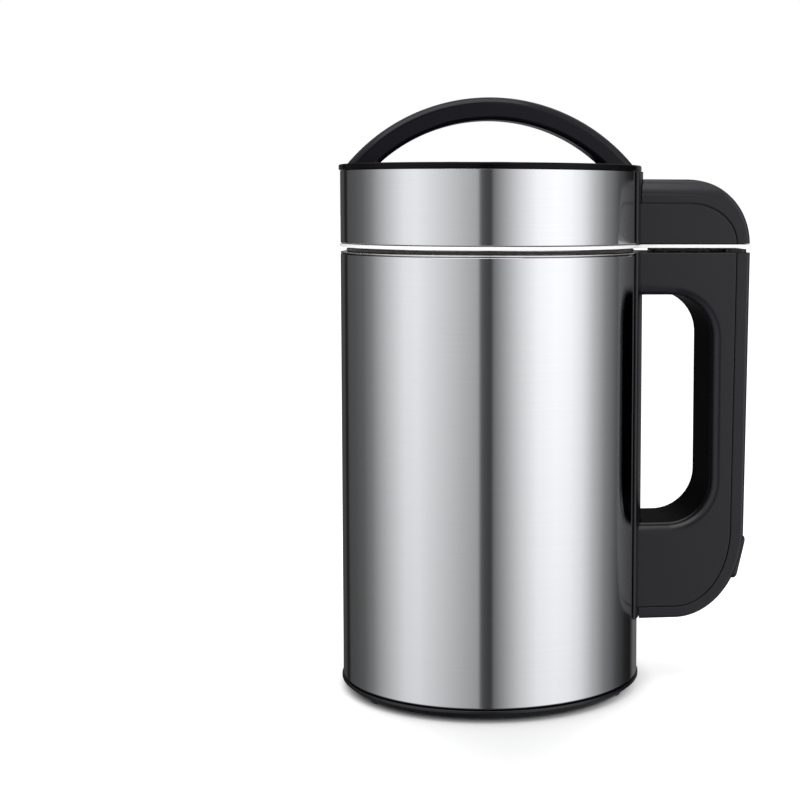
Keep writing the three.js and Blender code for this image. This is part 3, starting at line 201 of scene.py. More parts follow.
class BailSizes(PropertyGroup):
    """Sizes of the carry bail."""

    depth: length("Depth", "Thickness of the arch, outwards", 10.5)
    rise: length("Rise", "Top of the arch above the top plate", 31.3)
    foot_inset: length("Foot inset", "Foot of the arch inside the steel", 3.17)
    outer_edge: length("Outer rounding", "Rounding along the outside of the arch", 3.4)
    inner_edge: length("Inner rounding", "Rounding along the inside of the arch", 2.2)


class Palette(PropertyGroup):
    """Colours of the finishes."""

    steel: tint("Steel", "Brushed steel", 0.783, 0.793, 0.815)
    polish: tint("Polish", "Polished steel", 0.82, 0.82, 0.82)
    charcoal: tint("Charcoal", "Moulded handle", 0.0052, 0.005, 0.0075)
    gloss: tint("Gloss", "Gloss black", 0.0016, 0.0015, 0.002)
    satin: tint("Satin", "Satin black of the liner", 0.0007, 0.0007, 0.0009)
    bail: tint("Bail", "Moulded bail", 0.004, 0.0036, 0.007)
    white: tint("White", "White trim", 0.82, 0.82, 0.81)
    button: tint("Button", "Grey buttons", 0.42, 0.43, 0.45)


class StudioSettings(PropertyGroup):
    """Camera and light."""

    lens: FloatProperty(name="Lens", description="Focal length on a 36 mm sensor", default=76.18)
    key: FloatProperty(name="Key light", description="Power of the overhead light", default=4.0, unit="POWER")
    key_size: length("Key size", "Side of the overhead light", 900)
    key_height: length("Key height", "Height of the overhead light", 1100)


def let_go():
    """Leave edit mode and deselect everything."""
    if bpy.context.mode != "OBJECT":
        bpy.ops.object.mode_set(mode="OBJECT")
    bpy.ops.object.select_all(action="DESELECT")


def hold(piece):
    """Make one piece the only one selected."""
    let_go()
    piece.select_set(True)
    bpy.context.view_layer.objects.active = piece
    return piece


@contextmanager
def at_bench(piece, kind="VERT"):
    """Edit a piece, starting with nothing in it selected."""
    hold(piece)
    bpy.ops.object.mode_set(mode="EDIT")
    bpy.ops.mesh.select_mode(type=kind)
    bpy.ops.mesh.select_all(action="DESELECT")
    yield
    bpy.ops.object.mode_set(mode="OBJECT")


def choose(piece, kind, test):
    """While editing, select the vertices, edges or faces that pass a test of their middle and themselves."""
    mesh = bmesh.from_edit_mesh(piece.data)
    mesh.normal_update()
    parts = {"VERT": mesh.verts, "EDGE": mesh.edges, "FACE": mesh.faces}[kind]
    middles = {
        "VERT": lambda part: part.co,
        "EDGE": lambda part: (part.verts[0].co + part.verts[1].co) / 2,
        "FACE": lambda part: part.calc_center_median(),
    }
    chosen = [part for part in parts if test(middles[kind](part), part)]
    if not chosen:
        raise RuntimeError(f"{piece.name}: nothing to select")
    for part in chosen:
        part.select_set(True)
    bmesh.update_edit_mesh(piece.data)


def sharp(edge, degrees=40):
    """Whether the faces either side of an edge meet at a clear angle."""
    return len(edge.link_faces) == 2 and edge.calc_face_angle(0) > math.radians(degrees)


def wire(name, points):
    """An open wire drawn from point to point, from a plane drawn together into its first point."""
    let_go()
    bpy.ops.mesh.primitive_plane_add(size=MM)
    piece = bpy.context.object
    piece.name = name
    with at_bench(piece):
        bpy.ops.mesh.select_all(action="SELECT")
        bpy.ops.mesh.merge(type="CENTER")
        bpy.ops.transform.translate(value=points[0])
        for start, end in zip(points, points[1:]):
            bpy.ops.mesh.extrude_vertices_move(TRANSFORM_OT_translate={"value": end - start})
    return piece


def close_wire(piece, points):
    """While editing, join the ends of a wire."""
    bpy.ops.mesh.select_all(action="DESELECT")
    ends = (points[0], points[-1])
    choose(piece, "VERT", lambda middle, _: min((middle - end).length for end in ends) < MERGE)
    bpy.ops.mesh.edge_face_add()


def turned(name, profile, steps=192):
    """A closed body spun about the jug's axis from (radius, height) points."""
    points = [Vector((radius, 0, height)) for radius, height in profile]
    piece = wire(name, points)
    with at_bench(piece):
        if profile[0][0] > 0:
            close_wire(piece, points)
        bpy.ops.mesh.select_all(action="SELECT")
        bpy.ops.mesh.spin(steps=steps, angle=2 * math.pi, center=(0, 0, 0), axis=(0, 0, 1))
        bpy.ops.mesh.select_all(action="SELECT")
        bpy.ops.mesh.remove_doubles(threshold=MERGE)
        bpy.ops.mesh.normals_make_consistent(inside=False)
    return piece


def raised(name, outline, plane, start, end):
    """A closed body raised from an outline: XY rises along Z, XZ along Y, and YZ along X."""
    lift = {"XY": (0, 1, 2), "XZ": (0, 2, 1), "YZ": (1, 2, 0)}[plane]

    def place(first, second, third):
        point = Vector()
        for axis, value in zip(lift, (first, second, third)):
            point[axis] = value
        return point

    points = [place(first, second, start) for first, second in outline]
    piece = wire(name, points)
    with at_bench(piece):
        close_wire(piece, points)
        bpy.ops.mesh.select_all(action="SELECT")
        bpy.ops.mesh.edge_face_add()
        bpy.ops.mesh.extrude_region_move(TRANSFORM_OT_translate={"value": place(0, 0, end - start)})
        bpy.ops.mesh.select_all(action="SELECT")
        bpy.ops.mesh.normals_make_consistent(inside=False)
    return piece


def slab(name, outline, half):
    """A body raised from its side view, half of its width to either side."""
    return raised(name, outline, "XZ", -half, half)


def ease_edges(piece, width, test, segments=ROUND_STEPS):
    """Round the edges that pass a test."""
    with at_bench(piece, "EDGE"):
        choose(piece, "EDGE", test)
        bpy.ops.mesh.bevel(
            offset=width, offset_type="OFFSET", segments=segments, profile=0.5, affect="EDGES", clamp_overlap=False,
        )


def ease_sides(piece, width, half, segments=ROUND_STEPS):
    """Round the sharp edges of a slab's two sides."""
    ease_edges(piece, width, lambda middle, edge: abs(middle.y) > half - MERGE and sharp(edge), segments)


def carve(piece, *tools, how="DIFFERENCE"):
    """Cut tools from a piece, or join or keep what they share, and clear the tools away."""
    for tool in tools:
        hold(piece)
        step = piece.modifiers.new("Carve", "BOOLEAN")
        step.operation = how
        step.solver = "EXACT"
        step.object = tool
        bpy.ops.object.modifier_apply(modifier=step.name)
        bpy.data.meshes.remove(tool.data)
    return piece


def slice_off(piece, point, normal):
    """Cut away what lies past a plane, and close the cut."""
    with at_bench(piece, "FACE"):
        bpy.ops.mesh.select_all(action="SELECT")
        bpy.ops.mesh.bisect(plane_co=point, plane_no=normal, use_fill=True, clear_outer=True)


def tidy_mesh(piece):
    """Merge what lies together and melt faces without area, after cutting."""
    with at_bench(piece):
        bpy.ops.mesh.select_all(action="SELECT")
        bpy.ops.mesh.remove_doubles(threshold=MERGE)
        bpy.ops.mesh.dissolve_degenerate(threshold=MERGE)


def place(piece, move=(0, 0, 0), turn=0, about="Z"):
    """Turn a piece about an axis through the origin, then move it, all in its mesh."""
    hold(piece)
    piece.matrix_world = Matrix.Translation(Vector(move)) @ Matrix.Rotation(turn, 4, about) @ piece.matrix_world
    bpy.ops.object.transform_apply(location=True, rotation=True, scale=True)
    return piece


def copy_of(piece, name):
    """A copy with a mesh of its own."""
    twin = piece.copy()
    twin.data = piece.data.copy()
    twin.name = name
    bpy.context.scene.collection.objects.link(twin)
    return twin


def hand_over(piece, body, slot, *nodes, crease=CREASE, finish=None):
    """Shade a finished piece, give it its finish, and let it ride on its body in place of its nodes."""
    place(piece, move=(AXIS, 0, 0))
    bpy.ops.object.shade_smooth_by_angle(angle=math.radians(crease))
    step = piece.modifiers.new("Even shading", "WEIGHTED_NORMAL")
    step.keep_sharp = True
    bpy.ops.object.modifier_apply(modifier=step.name)
    piece.data.materials.clear()
    piece.data.materials.append(finishes[finish or slot])
    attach(piece, body)
    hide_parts(*nodes)
    return piece


def arc(centre, reach, start, end, steps):
    """Points round part of an ellipse, in degrees from its first axis."""
    angles = [math.radians(start + (end - start) * step / steps) for step in range(steps + 1)]
    return [(centre[0] + reach[0] * math.cos(a), centre[1] + reach[1] * math.sin(a)) for a in angles]


def eased(corners, steps=5):
    """A closed outline of (across, up, radius) corners, with each corner rounded to its radius."""
    points = []
    for index, (across, up, radius) in enumerate(corners):
        corner = Vector((across, up))
        if not radius:
            points.append(tuple(corner))
            continue
        before = (Vector(corners[index - 1][:2]) - corner).normalized()
        after = (Vector(corners[(index + 1) % len(corners)][:2]) - corner).normalized()
        half = before.angle(after) / 2
        centre = corner + (before + after).normalized() * radius / math.sin(half)
        first = corner + before * radius / math.tan(half) - centre
        last = corner + after * radius / math.tan(half) - centre
        turn = first.angle_signed(last)
        for step in range(steps + 1):
            share = step / steps
            spoke = Matrix.Rotation(-turn * share, 2) @ first
            points.append(tuple(centre + spoke))
    return points


def circle(radius, steps=192, centre=(0, 0)):
    """Points round a circle."""
    return arc(centre, (radius, radius), 0, 360 * (steps - 1) / steps, steps - 1)


def bar(name, plane, radius, start, end, centre=(0, 0), steps=32):
    """A round bar, most often a cutting tool."""
    return raised(name, circle(radius, steps, centre), plane, start, end)


def lead_hole(height, end):
    """A cutting tool for the hole that the lead passes, from inside the steel to an end."""
    return bar("lead_hole", "YZ", LEAD_HOLE, JUG_RADIUS - OVERRUN, end, (0, height))


def turned_at(name, profile, spot, steps=48):
    """A body turned about an upright axis of its own."""
    return place(turned(name, profile, steps), (*spot, 0))


def repeated(first, spots, names):
    """Copies of a piece that stands on the jug's axis, one at each spot of the plan."""
    pieces = [first, *[copy_of(first, name) for name in names[1:]]]
    for piece, spot in zip(pieces, spots):
        place(piece, (*spot, 0))
    return pieces


def rounded_box(x0, x1, y0, y1, radius, steps=8):
    """The outline of a rectangle with round corners."""
    return eased([(x0, y0, radius), (x1, y0, radius), (x1, y1, radius), (x0, y1, radius)], steps)


def block(name, x0, x1, y0, y1, z0, z1):
    """A plain block for cutting."""
    return raised(name, [(x0, y0), (x1, y0), (x1, y1), (x0, y1)], "XY", z0, z1)


def polar(radius, angle):
    """A point of the plan at an angle in radians."""
    return radius * math.cos(angle), radius * math.sin(angle)


SCREW_SPOTS = [polar(53 * MM, 2 * math.pi * (index + 0.5) / 3) for index in range(3)]
FOOT_SPOTS = [polar(62.4 * MM, 2 * math.pi * (index + 0.75) / 3) for index in range(3)]


def handle_hollow(sizes, half):
    """The hollow of the handle's body behind its cover."""
    inside = half - sizes.wall
    outline = handle_outline(sizes, sizes.band - OVERRUN, HANDLE_TOP - sizes.wall)
    hollow = slab("hollow", outline, inside)
    clear = slab("liner_room", opening_outline(sizes, sizes.liner + GAP + sizes.wall, START - OVERRUN), half)
    return carve(hollow, clear, jug_space("jug_room", strip_reach(sizes) + sizes.wall, -OVERRUN, TOP_HIGH.z))


def inlet_block(name, growth, inside, outside, corner=3 * MM, widen=0):
    """A block of the inlet's outline, grown all round and widened at both sides, facing X."""
    across, rise = INLET_ACROSS + growth + widen, INLET_RISE + growth
    return raised(name, rounded_box(-across, across, -rise, rise, corner, 6), "YZ", inside, outside)


def on_inlet_axis(piece):
    """Turn a piece that was made facing X into the inlet's direction and place."""
    return place(piece, INLET_PLACE, INLET_TILT, "Y")


def arch_radius(sizes):
    reach = JUG_RADIUS - sizes.foot_inset
    return (reach ** 2 + sizes.rise ** 2) / (2 * sizes.rise)


def arch_centre(sizes):
    return TOP_HIGH.z + sizes.rise - arch_radius(sizes)


def arch(sizes, radius, steps=72):
    """Points of the bail's arch, from the plate on the right to the plate on the left, above the pivot."""
    start = math.asin((TOP_HIGH.z - arch_centre(sizes)) / radius)
    turns = [start + (math.pi - 2 * start) * step / steps for step in range(steps + 1)]
    lift = arch_centre(sizes) - PIVOT_HEIGHT
    return [(radius * math.cos(turn), lift + radius * math.sin(turn)) for turn in turns]


def channel_outline(sizes, growth):
    """Plan of the room that the folding bail sweeps below the top plate."""
    half = BAIL_HIGH.y
    radius = arch_radius(sizes)
    level = TOP_HIGH.z - PIVOT_HEIGHT
    swept = [(x, math.hypot(height, half) + growth) for x, height in arch(sizes, radius)]
    under = [
        (x, math.sqrt(max(height ** 2 - level ** 2, 0)) - growth)
        for x, height in reversed(arch(sizes, radius - sizes.depth))
    ]
    outer, inner = swept[0][0] + growth, under[-1][0] - growth
    swept[0], swept[-1] = (outer, swept[0][1]), (-outer, swept[-1][1])
    under[0], under[-1] = (-inner, under[0][1]), (inner, under[-1][1])
    near = -half - growth
    return [(outer, near), *swept, (-outer, near), (-inner, near), *under, (inner, near)]


class Level:
    """A shader value, with the operators of shader maths."""

    def __init__(self, tree, socket):
        self.tree = tree
        self.socket = socket

    def other(self, name):
        """Another output of the same node."""
        return Level(self.tree, self.socket.node.outputs[name])

    def maths(self, operation, *values):
        node = self.tree.nodes.new("ShaderNodeMath")
        node.operation = operation
        for slot, value in zip(node.inputs, values):
            if isinstance(value, Level):
                self.tree.links.new(value.socket, slot)
            else:
                slot.default_value = value
        return Level(self.tree, node.outputs[0])

    def __add__(self, other):
        return self.maths("ADD", self, other)

    def __sub__(self, other):
        return self.maths("SUBTRACT", self, other)

    def __rsub__(self, other):
        return self.maths("SUBTRACT", other, self)

    def __mul__(self, other):
        return self.maths("MULTIPLY", self, other)

    def __truediv__(self, other):
        return self.maths("DIVIDE", self, other)

    def __pow__(self, other):
        return self.maths("POWER", self, other)

    __radd__ = __add__
    __rmul__ = __mul__


class NodeBench:
    """Where the nodes of one material or of the room's light are laid out."""

    def __init__(self, tree):
        self.tree = tree
        tree.nodes.clear()

    def node(self, kind, settings=None, inputs=None, output=0):
        """A node with its settings, then its sockets' values or links, as the level of one output."""
        made = self.tree.nodes.new(kind)
        for name, value in (settings or {}).items():
            if name == "stops":
                self.set_stops(made.color_ramp, value)
            else:
                setattr(made, name, value)
        for name, value in (inputs or {}).items():
            self.feed(made.inputs[name], value)
        return Level(self.tree, made.outputs[output])

    def feed(self, slot, value):
        if isinstance(value, Level):
            self.tree.links.new(value.socket, slot)
        else:
            slot.default_value = value

    def output(self, kind, whole):
        """The node that shows the whole."""
        self.feed(self.tree.nodes.new(kind).inputs[0], whole)

    @staticmethod
    def set_stops(ramp, stops):
        while len(ramp.elements) < len(stops):
            ramp.elements.new(1)
        for element, (position, shade) in zip(ramp.elements, stops):
            element.position = position
            element.color = (*shade, 1) if isinstance(shade, (tuple, list)) else (shade, shade, shade, 1)

    def mix(self, factor, first, second):
        """A colour between two colours."""
        pair = {0: factor, 6: rgba(first), 7: rgba(second)}
        return self.node("ShaderNodeMix", {"data_type": "RGBA"}, pair, output=2)


def rgba(colour):
    """A colour with its alpha, or a link as it is."""
    return colour if isinstance(colour, Level) else (*tuple(colour)[:3], 1)


class Finish(NodeBench):
    """A procedural material on object coordinates."""

    def __init__(self, name, **uniform):
        self.slot = name
        self.material = bpy.data.materials.new(f"{name}_finish")
        self.material.use_nodes = True
        super().__init__(self.material.node_tree)
        whole = self.node("ShaderNodeBsdfPrincipled")
        self.shader = whole.socket.node
        self.output("ShaderNodeOutputMaterial", whole)
        for socket, value in uniform.items():
            self.wear(socket.replace("_", " "), value)

    def wear(self, socket, value):
        """Set or link a socket of the shader."""
        value = rgba(value) if "Color" in socket else value
        self.feed(self.shader.inputs[socket], value)
        return self

    def where(self, centre=(0, 0, 0), stretch=(1, 1, 1), turn=(0, 0, 0)):
        """Object coordinates, centred and stretched."""
        bare = self.node("ShaderNodeTexCoord", output="Object")
        centred = self.node("ShaderNodeVectorMath", {"operation": "SUBTRACT"}, {0: bare, 1: centre})
        return self.node("ShaderNodeMapping", None, {"Vector": centred, "Rotation": turn, "Scale": stretch})

    def noise(self, vector, scale=1, detail=2, roughness=0.5):
        inputs = {"Vector": vector, "Scale": scale, "Detail": detail, "Roughness": roughness}
        return self.node("ShaderNodeTexNoise", None, inputs)

    def bump(self, height, depth, strength=1):
        """Raise the surface by a height that runs from 0 to 1, of a depth in metres."""
        inputs = {"Strength": strength, "Distance": depth, "Height": height}
        return self.wear("Normal", self.node("ShaderNodeBump", None, inputs))


def brushed(name, colour, roughness, line_pitch, centre, contrast=1.0, anisotropic=0.7):
    """Steel brushed round the jug's axis, in fine level lines."""
    steel = Finish(name, Metallic=1, Anisotropic=anisotropic, Anisotropic_Rotation=0.25)
    fine = steel.noise(steel.where(centre, (34, 34, 1 / line_pitch)), detail=2, roughness=0.6)
    broad = steel.noise(steel.where(centre, (9, 9, 0.2 / line_pitch)), detail=2)
    cloud = steel.noise(steel.where(centre, (14, 14, 22)), detail=2)
    lines = fine * 0.8 + broad * 0.2
    steel.wear("Roughness", roughness + (lines - 0.5) * 0.10 * contrast + (cloud - 0.5) * 0.03)
    dark = tuple(part * (1 - 0.14 * contrast) for part in colour)
    steel.wear("Base Color", steel.mix(lines, dark, tuple(min(1, part * 1.06) for part in colour)))
    return steel.bump(lines, 0.002 * MM * contrast, 0.5)


def moulded(name, colour, roughness, grain=0.45 * MM, depth=0.012 * MM, coat=0.0):
    """Moulded plastic with a fine spark-eroded grain and slightly rubbed high spots."""
    plastic = Finish(name, Coat_Weight=coat, Coat_Roughness=0.08, IOR=1.5)
    grains = plastic.noise(plastic.where(), 1 / grain, detail=3, roughness=0.6)
    rubbed = plastic.noise(plastic.where(), 38, detail=3)
    plastic.wear("Roughness", roughness + (rubbed - 0.5) * 0.10 + (grains - 0.5) * 0.08)
    paler = tuple(part * 1.35 + 0.001 for part in colour)
    plastic.wear("Base Color", plastic.mix(rubbed * 0.6 + grains * 0.4, colour, paler))
    return plastic.bump(grains, depth, 0.6)


def glossy(name, colour, roughness=0.06, coat=1.0):
    """Hard gloss plastic with a faint waviness and a trace of handling."""
    plastic = Finish(name, Coat_Weight=coat, Coat_Roughness=0.03, IOR=1.5)
    waves = plastic.noise(plastic.where(), 160, detail=1)
    traces = plastic.noise(plastic.where(), 46, detail=4, roughness=0.65)
    plastic.wear("Roughness", roughness + traces * traces * 0.10)
    plastic.wear("Base Color", plastic.mix(traces, colour, tuple(part * 1.3 for part in colour)))
    return plastic.bump(waves, 0.004 * MM, 0.4)


def cast_metal(name, colour, roughness, metallic=1.0):
    """Die-cast or drawn metal with a grainy, unevenly dulled surface."""
    metal = Finish(name, Metallic=metallic)
    grain = metal.noise(metal.where(), 900, detail=3)
    dulled = metal.noise(metal.where(), 70, detail=3)
    metal.wear("Roughness", roughness + (dulled - 0.5) * 0.22 + (grain - 0.5) * 0.10)
    metal.wear("Base Color", metal.mix(dulled, tuple(part * 0.78 for part in colour), colour))
    return metal.bump(grain, 0.015 * MM, 0.5)


def layered(name, colour, gap_colour, pitch, metallic, roughness, turn=(0, 0, 0), depth=0.08 * MM):
    """Thin layers or turns of wire, one pitch apart, stacked along Z before the turn."""
    layers = Finish(name, Metallic=metallic)
    along = layers.where(turn=turn)
    settings = {"wave_type": "BANDS", "bands_direction": "Z", "wave_profile": "SIN"}
    lines = layers.node("ShaderNodeTexWave", settings, {"Vector": along, "Scale": 0.3142 / pitch, "Distortion": 0})
    uneven = layers.noise(layers.where(), 260, detail=2)
    layers.wear("Base Color", layers.mix(lines * 0.8 + uneven * 0.3, gap_colour, colour))
    layers.wear("Roughness", roughness + (uneven - 0.5) * 0.2)
    return layers.bump(lines, depth, 0.8)


def rubbery(name, colour, roughness=0.62):
    """Soft rubber or silicone with a dusty sheen."""
    rubber = Finish(name, Sheen_Weight=0.15, IOR=1.45)
    dust = rubber.noise(rubber.where(), 120, detail=4, roughness=0.7)
    rubber.wear("Roughness", roughness + dust * 0.16)
    rubber.wear("Base Color", rubber.mix(dust, colour, tuple(part * 1.7 + 0.004 for part in colour)))
    return rubber.bump(dust, 0.02 * MM, 0.5)


def circuit_board(name):
    """Green board with paler copper traces under the lacquer."""
    board = Finish(name, Coat_Weight=0.4, Coat_Roughness=0.15)
    cells = board.node(
        "ShaderNodeTexVoronoi", {"feature": "DISTANCE_TO_EDGE", "distance": "MANHATTAN"},
        {"Vector": board.where(), "Scale": 260},
    )
    traces = cells.maths("LESS_THAN", cells, 0.10)
    board.wear("Base Color", board.mix(traces, (0.012, 0.085, 0.03), (0.05, 0.19, 0.08)))
    board.wear("Roughness", 0.42 - traces * 0.12)
    return board.bump(traces, 0.03 * MM, 0.6)


def make_finishes(palette):
    """All the finishes, by the names of the record's slots where they have one."""
    middle = (AXIS, 0, 0)
    made = [
        brushed("brushed_steel", palette.steel, 0.115, 0.16 * MM, middle, 0.45, 0.9),
        brushed("polished_steel", palette.polish, 0.17, 0.5 * MM, middle, 0.35, 0.35),
        moulded("black_plastic", palette.charcoal, 0.26, 0.30 * MM, 0.004 * MM),
        glossy("gloss_black", palette.gloss, 0.06, 0.02).wear("Specular IOR Level", 0.11),
        glossy("satin_black", palette.satin, 0.35, 0.0).wear("Specular IOR Level", 0.012),
        moulded("bail_plastic", palette.bail, 0.17, 0.30 * MM, 0.002 * MM).wear("Specular IOR Level", 0.3),
        moulded("white_plastic", palette.white, 0.30, 0.4 * MM, 0.004 * MM),
        rubbery("black_rubber", (0.012, 0.012, 0.012)),
        rubbery("seal_silicone", (0.022, 0.020, 0.018), 0.45),
        cast_metal("aluminium", (0.62, 0.63, 0.64), 0.42),
        layered("laminated_iron", (0.34, 0.35, 0.36), (0.06, 0.055, 0.05), 0.5 * MM, 0.9, 0.42),
        layered("copper", (0.72, 0.30, 0.11), (0.20, 0.06, 0.02), 0.55 * MM, 0.9, 0.30, (math.pi / 2, 0, 0)),
        cast_metal("brass", (0.76, 0.56, 0.24), 0.24),
        circuit_board("board_green"),
        moulded("button_grey", palette.button, 0.30, 0.35 * MM, 0.006 * MM, 0.3),
        glossy("lens_blue", (0.28, 0.52, 0.74), 0.04),
        rubbery("cable_grey", (0.08, 0.08, 0.085), 0.5),
    ]
    return {finish.slot: finish.material for finish in made}


finishes = {}


def handle_outline(sizes, inset, top, start=START):
    """Side view of the handle, drawn in by an inset."""
    lower = inset * sizes.band_share
    back = HANDLE_REACH - sizes.back_inset
    centre = (back - sizes.lean - sizes.corner_reach, COVER_LOW.z + sizes.corner_rise)
    reach = (sizes.corner_reach - inset, sizes.corner_rise - lower)
    corner = arc(centre, reach, -90, 0, 36)
    return [(start, top), (start, COVER_LOW.z + lower), *corner, (back - inset, top)]


def fairing_outline(sizes, inset, start=START, drop=None):
    """Side view of the fairing on the head, run on below it, drawn in by an inset and lower by a drop."""
    bottom = SKIRT_LOW.z - sizes.edge - OVERRUN
    rise = FAIRING_HIGH.z - SKIRT_LOW.z - (drop or inset * sizes.top_share)
    back = HANDLE_REACH - sizes.back_inset
    centre = (back - sizes.upper_reach, SKIRT_LOW.z)
    corner = arc(centre, (sizes.upper_reach - inset, rise), 0, 90, 36)
    return [(start, bottom), (back - inset, bottom), *corner, (start, SKIRT_LOW.z + rise)]


def crown_outline(sizes):
    """Front view of the fairing's top, whose broad rounding rises from a ledge on both sides."""
    low, high = math.sin(sizes.crown_crease), math.cos(sizes.crown_crease)
    radius = sizes.crown / (high - low)
    half = COVER_HIGH.y - sizes.ledge
    across, up = half - radius * high, FAIRING_HIGH.z - radius * high
    start = math.degrees(sizes.crown_crease)
    right = arc((across, up), (radius, radius), start, 90 - start, 12)
    left = [(-across, up) for across, up in reversed(right)]
    bottom = SKIRT_LOW.z - 4 * OVERRUN
    return [(-half, bottom), (half, bottom), *right, *left]


def opening_ends(sizes):
    """Lowest and highest places of the finger opening."""
    return LINER_LOW.z + sizes.liner - sizes.opening_drop, LINER_HIGH.z - sizes.liner - sizes.opening_dip


def opening_outline(sizes, offset, start=OPENING_START):
    """Side view of the finger opening, grown by an offset."""
    low, high = opening_ends(sizes)
    middle = LINER_HIGH.x - sizes.liner - sizes.opening_corner
    radius = (sizes.opening_corner + offset,) * 2
    lower = arc((middle, low + sizes.opening_corner), radius, -90, 0, 16)
    upper = arc((middle, high - sizes.opening_corner), radius, 0, 90, 16)
    return [(start, low - offset), *lower, *upper, (start, high + offset)]


def strip_beside(sizes, name, bottom, top):
    """Strip that hugs the steel on both sides of the handle, with soft long edges."""
    inner = JUG_RADIUS + GAP
    spread, soft = sizes.strip_angle, sizes.strip / inner
    turns = [math.pi / 2 * step / 5 for step in range(6)]
    edge = [(spread - soft + soft * math.sin(t), inner + sizes.strip * math.cos(t)) for t in turns]
    steps = [1 - 2 * step / 40 for step in range(1, 40)]
    face = [(-(spread - soft) * share, inner + sizes.strip) for share in steps]
    back = [(spread * share, inner - GAP) for share in steps]
    outline = [*[(-angle, radius) for angle, radius in reversed(edge)], *face, *edge, *back]
    return raised(name, [polar(radius, angle) for angle, radius in outline], "XY", bottom, top)


def strip_reach(sizes):
    """Radius of the outside of the strip that hugs the steel."""
    return JUG_RADIUS + GAP + sizes.strip


def jug_space(name, radius, bottom, top):
    """The room that the jug or the head takes up, for cutting."""
    return bar(name, "XY", radius, bottom, top, steps=192)


def coupler_outline(growth):
    """Plan of the coupler's block, grown all round."""
    x0, x1 = SOCKET_LOW.x + COUPLER_STEP - growth, SOCKET_HIGH.x - COUPLER_STEP + growth
    half = SOCKET_HIGH.y - COUPLER_STEP + growth
    return rounded_box(x0, x1, -half, half, 1.2 * MM, 4)


class SOYMILK_OT_finishes(Operator):
    """Mix every finish, and give the hidden working pieces theirs"""

    bl_idname = "soymilk.finishes"
    bl_label = "Finishes"

    def execute(self, context):
        finishes.update(make_finishes(context.scene.soymilk_palette))
        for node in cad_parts.values():
            slot = node.data.materials[0].name
            node.data.materials.clear()
            node.data.materials.append(finishes[slot])
        return {"FINISHED"}


class SOYMILK_OT_jug(Operator):
    """Turn the steel shell with its curled bottom edge, and the drawn cup with its rolled rim"""

    bl_idname = "soymilk.jug"
    bl_label = "Jug"

    def execute(self, context):
        sizes = context.scene.soymilk_jug
        self.shell(sizes)
        self.cup(sizes)
        return {"FINISHED"}

    def shell(self, sizes):
        low, high, outer = JUG_LOW.z, JUG_HIGH.z, JUG_RADIUS
        inner = outer - sizes.sheet
        corner = sizes.sheet
        profile = eased([
            (outer - sizes.curl, low, 0.2 * MM),
            (outer, low, corner * 1.4),
            (outer, high, 0.3 * MM),
            (inner, high, 0.3 * MM),
            (inner, low + sizes.sheet, 0.4 * MM),
            (outer - sizes.curl, low + sizes.sheet, 0.2 * MM),
        ])
        shell = turned("jug_shell_steel", profile, sizes.turns)
        hand_over(shell, "jug", "brushed_steel", "jug_shell")

    def cup(self, sizes):
        inner = JUG_RADIUS - sizes.cup_wall
        outer = inner + sizes.sheet
        floor = CUP_LOW.z + sizes.sheet
        flange = CUP_HIGH.z - 0.7 * MM
        corner = sizes.cup_corner
        profile = [
            (0, CUP_LOW.z),
            *arc((inner - corner, floor + corner), (corner + sizes.sheet,) * 2, -90, 0, 20),
            *eased([
                (outer, flange - 1 * MM, 0),
                (outer, flange, 0),
                (JUG_RADIUS, flange, sizes.rim_roll),
                (JUG_RADIUS, CUP_HIGH.z, sizes.rim_roll),
                (inner, CUP_HIGH.z, 0.65 * MM),
                (inner, flange - 1 * MM, 0),
            ]),
            *reversed(arc((inner - corner, floor + corner), (corner,) * 2, -90, 0, 20)),
            (0, floor),
        ]
        cup = turned("inner_cup_steel", profile, sizes.turns)
        hand_over(cup, "jug", "polished_steel", "inner_cup")


